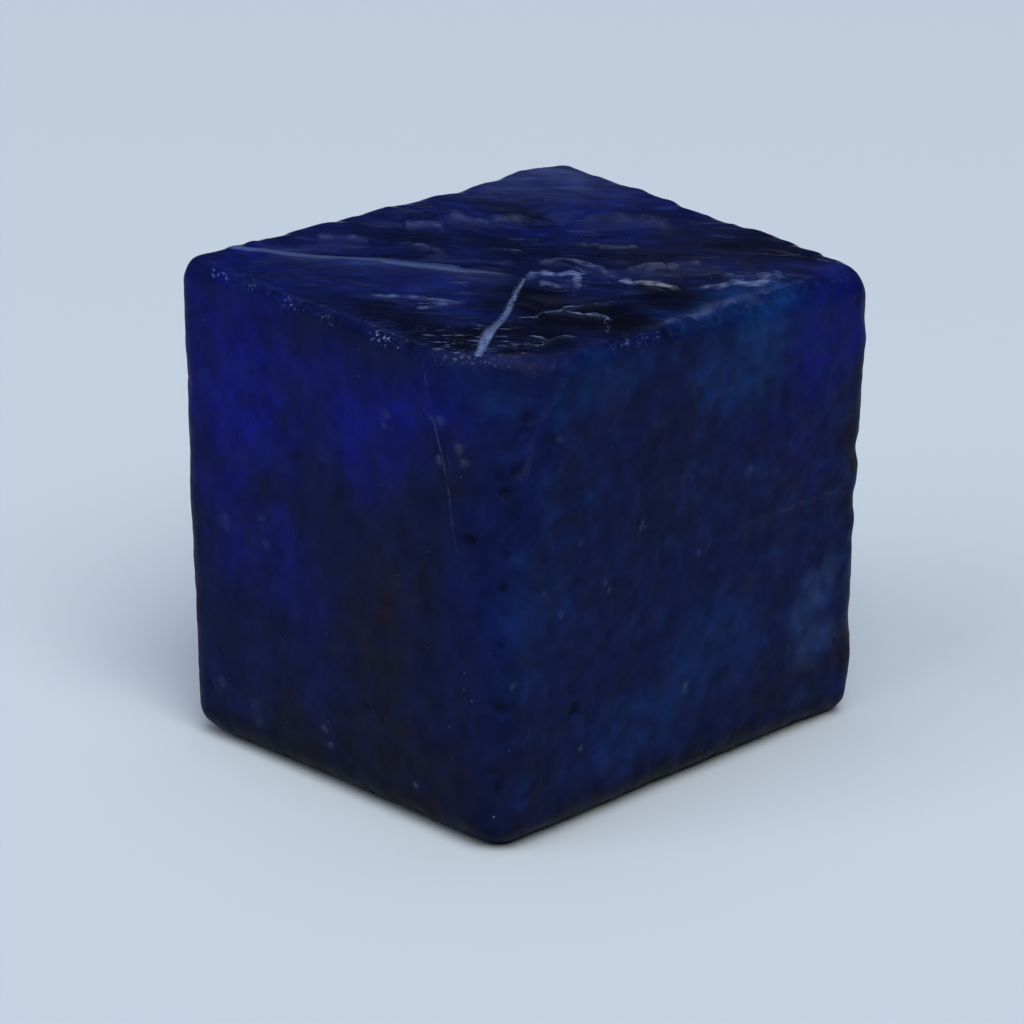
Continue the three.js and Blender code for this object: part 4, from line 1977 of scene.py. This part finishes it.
    def dress(self, mesh: bpy.types.Mesh) -> None:
        """Gives the worn skin and the fresh break their finishes.

        Args:
            mesh: the stone's mesh, with its masks.
        """
        mesh.materials.append(WornSkinFinish().material())
        mesh.materials.append(FreshBreakFinish().material())
        fresh = np.zeros(len(mesh.vertices), np.float32)
        mesh.attributes["fresh"].data.foreach_get("value", fresh)
        corners = np.zeros(len(mesh.loops), np.int32)
        mesh.loops.foreach_get("vertex_index", corners)
        shares = fresh[corners].reshape(-1, 3).mean(axis=1)
        mesh.polygons.foreach_set("material_index", (shares > 0.5).astype(np.int32))


@dataclass(frozen=True)
class Softbox:
    """A studio light that shines at the stone. Angles in degrees, lengths in metres, power in watts."""

    name: str
    azimuth: float
    elevation: float
    distance: float
    size: float
    power: float
    colour: str


@dataclass(frozen=True)
class Studio:
    """A plain pale floor, soft light from above the camera and a little from behind, and the camera itself.

    Lengths are in metres and angles in degrees, unless a comment says otherwise.
    """

    floor_size: float = 2.0
    floor_colour: str = "#cbd3d7"
    floor_roughness: float = 0.9
    floor_specular_level: float = 0.1
    room_colour: str = "#e7f3ff"
    room_light: float = 0.02
    softboxes: tuple[Softbox, ...] = (
        Softbox("key softbox", 63.0, 54.0, 2.4, 1.6, 48.0, "#f7faff"),
        Softbox("fill softbox", 350.0, 46.0, 2.4, 1.6, 20.0, "#ebf3ff"),
        Softbox("overhead softbox", 44.0, 88.0, 2.4, 1.6, 11.0, "#e4efff"),
        Softbox("back softbox", 224.0, 69.0, 1.6, 1.4, 4.2, "#b4c4ff"),
    )
    camera_azimuth: float = 44.44
    camera_elevation: float = 20.70
    camera_roll: float = 0.81
    camera_distance: float = 0.162
    camera_aim: Place = (-0.30, -0.66, 9.31)  # in the stone's own frame, in mm
    lens: float = 140.0  # mm, as the sensor
    sensor: float = 36.0
    nearest: float = 0.01  # that the camera sees
    farthest: float = 10.0

    def build(self, stone: TanzaniteBlock) -> None:
        """Makes the floor, the lights and the camera.

        Args:
            stone: what the camera looks at.
        """
        self.lay_floor()
        low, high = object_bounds()
        centre = (low + high) / 2
        for softbox in self.softboxes:
            self.hang(softbox, centre)
        self.light_room()
        aim = Vector(stone.to_metres(np.array(self.camera_aim)))
        self.place_camera(aim)

    def lay_floor(self) -> None:
        """A sheet of matt paper under the stone."""
        half = self.floor_size / 2
        corners = [(-half, -half, 0.0), (half, -half, 0.0), (half, half, 0.0), (-half, half, 0.0)]
        mesh = bpy.data.meshes.new("floor")
        mesh.from_pydata(corners, [], [(0, 1, 2, 3)])
        floor = bpy.data.objects.new("floor", mesh)
        bpy.context.scene.collection.objects.link(floor)
        paper = bpy.data.materials.new("matt white paper")
        paper.use_nodes = True
        shader = paper.node_tree.nodes["Principled BSDF"]
        shader.inputs["Base Color"].default_value = linear(self.floor_colour)
        shader.inputs["Roughness"].default_value = self.floor_roughness
        shader.inputs["Specular IOR Level"].default_value = self.floor_specular_level
        mesh.materials.append(paper)
        floor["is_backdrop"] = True

    def hang(self, softbox: Softbox, centre: Vector) -> None:
        """Hangs one softbox and turns it to the stone.

        Args:
            softbox: which one.
            centre: the point that it shines at.
        """
        towards = self.direction(softbox.azimuth, softbox.elevation)
        data = bpy.data.lights.new(softbox.name, "AREA")
        data.shape = "SQUARE"
        data.size = softbox.size
        data.energy = softbox.power
        data.color = linear(softbox.colour)[:3]
        light = bpy.data.objects.new(softbox.name, data)
        light.location = centre + towards * softbox.distance
        light.rotation_euler = (-towards).to_track_quat("-Z", "Y").to_euler()
        bpy.context.scene.collection.objects.link(light)

    def light_room(self) -> None:
        """A dim room round the stone."""
        world = bpy.data.worlds.new("room")
        world.use_nodes = True
        background = world.node_tree.nodes["Background"]
        background.inputs["Color"].default_value = linear(self.room_colour)
        background.inputs["Strength"].default_value = self.room_light
        bpy.context.scene.world = world

    def direction(self, azimuth: float, elevation: float) -> Vector:
        """The way from the stone to something at that azimuth and elevation in degrees."""
        turn, rise = math.radians(azimuth), math.radians(elevation)
        return Vector((math.sin(turn) * math.cos(rise), -math.cos(turn) * math.cos(rise), math.sin(rise)))

    def place_camera(self, aim: Vector) -> None:
        """Puts the camera where it looks down at the front upright edge.

        Args:
            aim: the point in the middle of the picture.
        """
        back = self.direction(self.camera_azimuth, self.camera_elevation)
        turn, roll = math.radians(self.camera_azimuth), math.radians(self.camera_roll)
        right = Vector((math.cos(turn), math.sin(turn), 0.0))
        up = back.cross(right)
        tilted_right = right * math.cos(roll) + up * math.sin(roll)
        tilted_up = up * math.cos(roll) - right * math.sin(roll)
        data = bpy.data.cameras.new("camera")
        data.lens = self.lens
        data.sensor_width = self.sensor
        data.clip_start = self.nearest
        data.clip_end = self.farthest
        camera = bpy.data.objects.new("camera", data)
        spot = aim + back * self.camera_distance
        turned = Matrix((tilted_right, tilted_up, back)).transposed().to_4x4()
        camera.matrix_world = Matrix.Translation(spot) @ turned
        bpy.context.scene.collection.objects.link(camera)
        bpy.context.scene.camera = camera


def write_sizes() -> None:
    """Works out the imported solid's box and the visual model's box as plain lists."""
    boxes = {"cad": CAD_BOX, "visual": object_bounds()}
    plain = {name: [list(corner) for corner in corners] for name, corners in boxes.items()}


def main() -> None:
    """Builds the stone and its studio."""
    logging.basicConfig(level=logging.INFO, format="%(name)s: %(message)s")
    block = TanzaniteBlock()
    stone = block.build()
    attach(stone, BODY)
    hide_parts(NODE)
    LOG.info("%s: %d triangles", stone.name, len(stone.data.polygons))
    Studio().build(block)
    LOG.info("studio: floor, lights and camera in place")
    bpy.context.scene.view_settings.view_transform = "Standard"
    write_sizes()


if __name__ == "__main__":
    main()
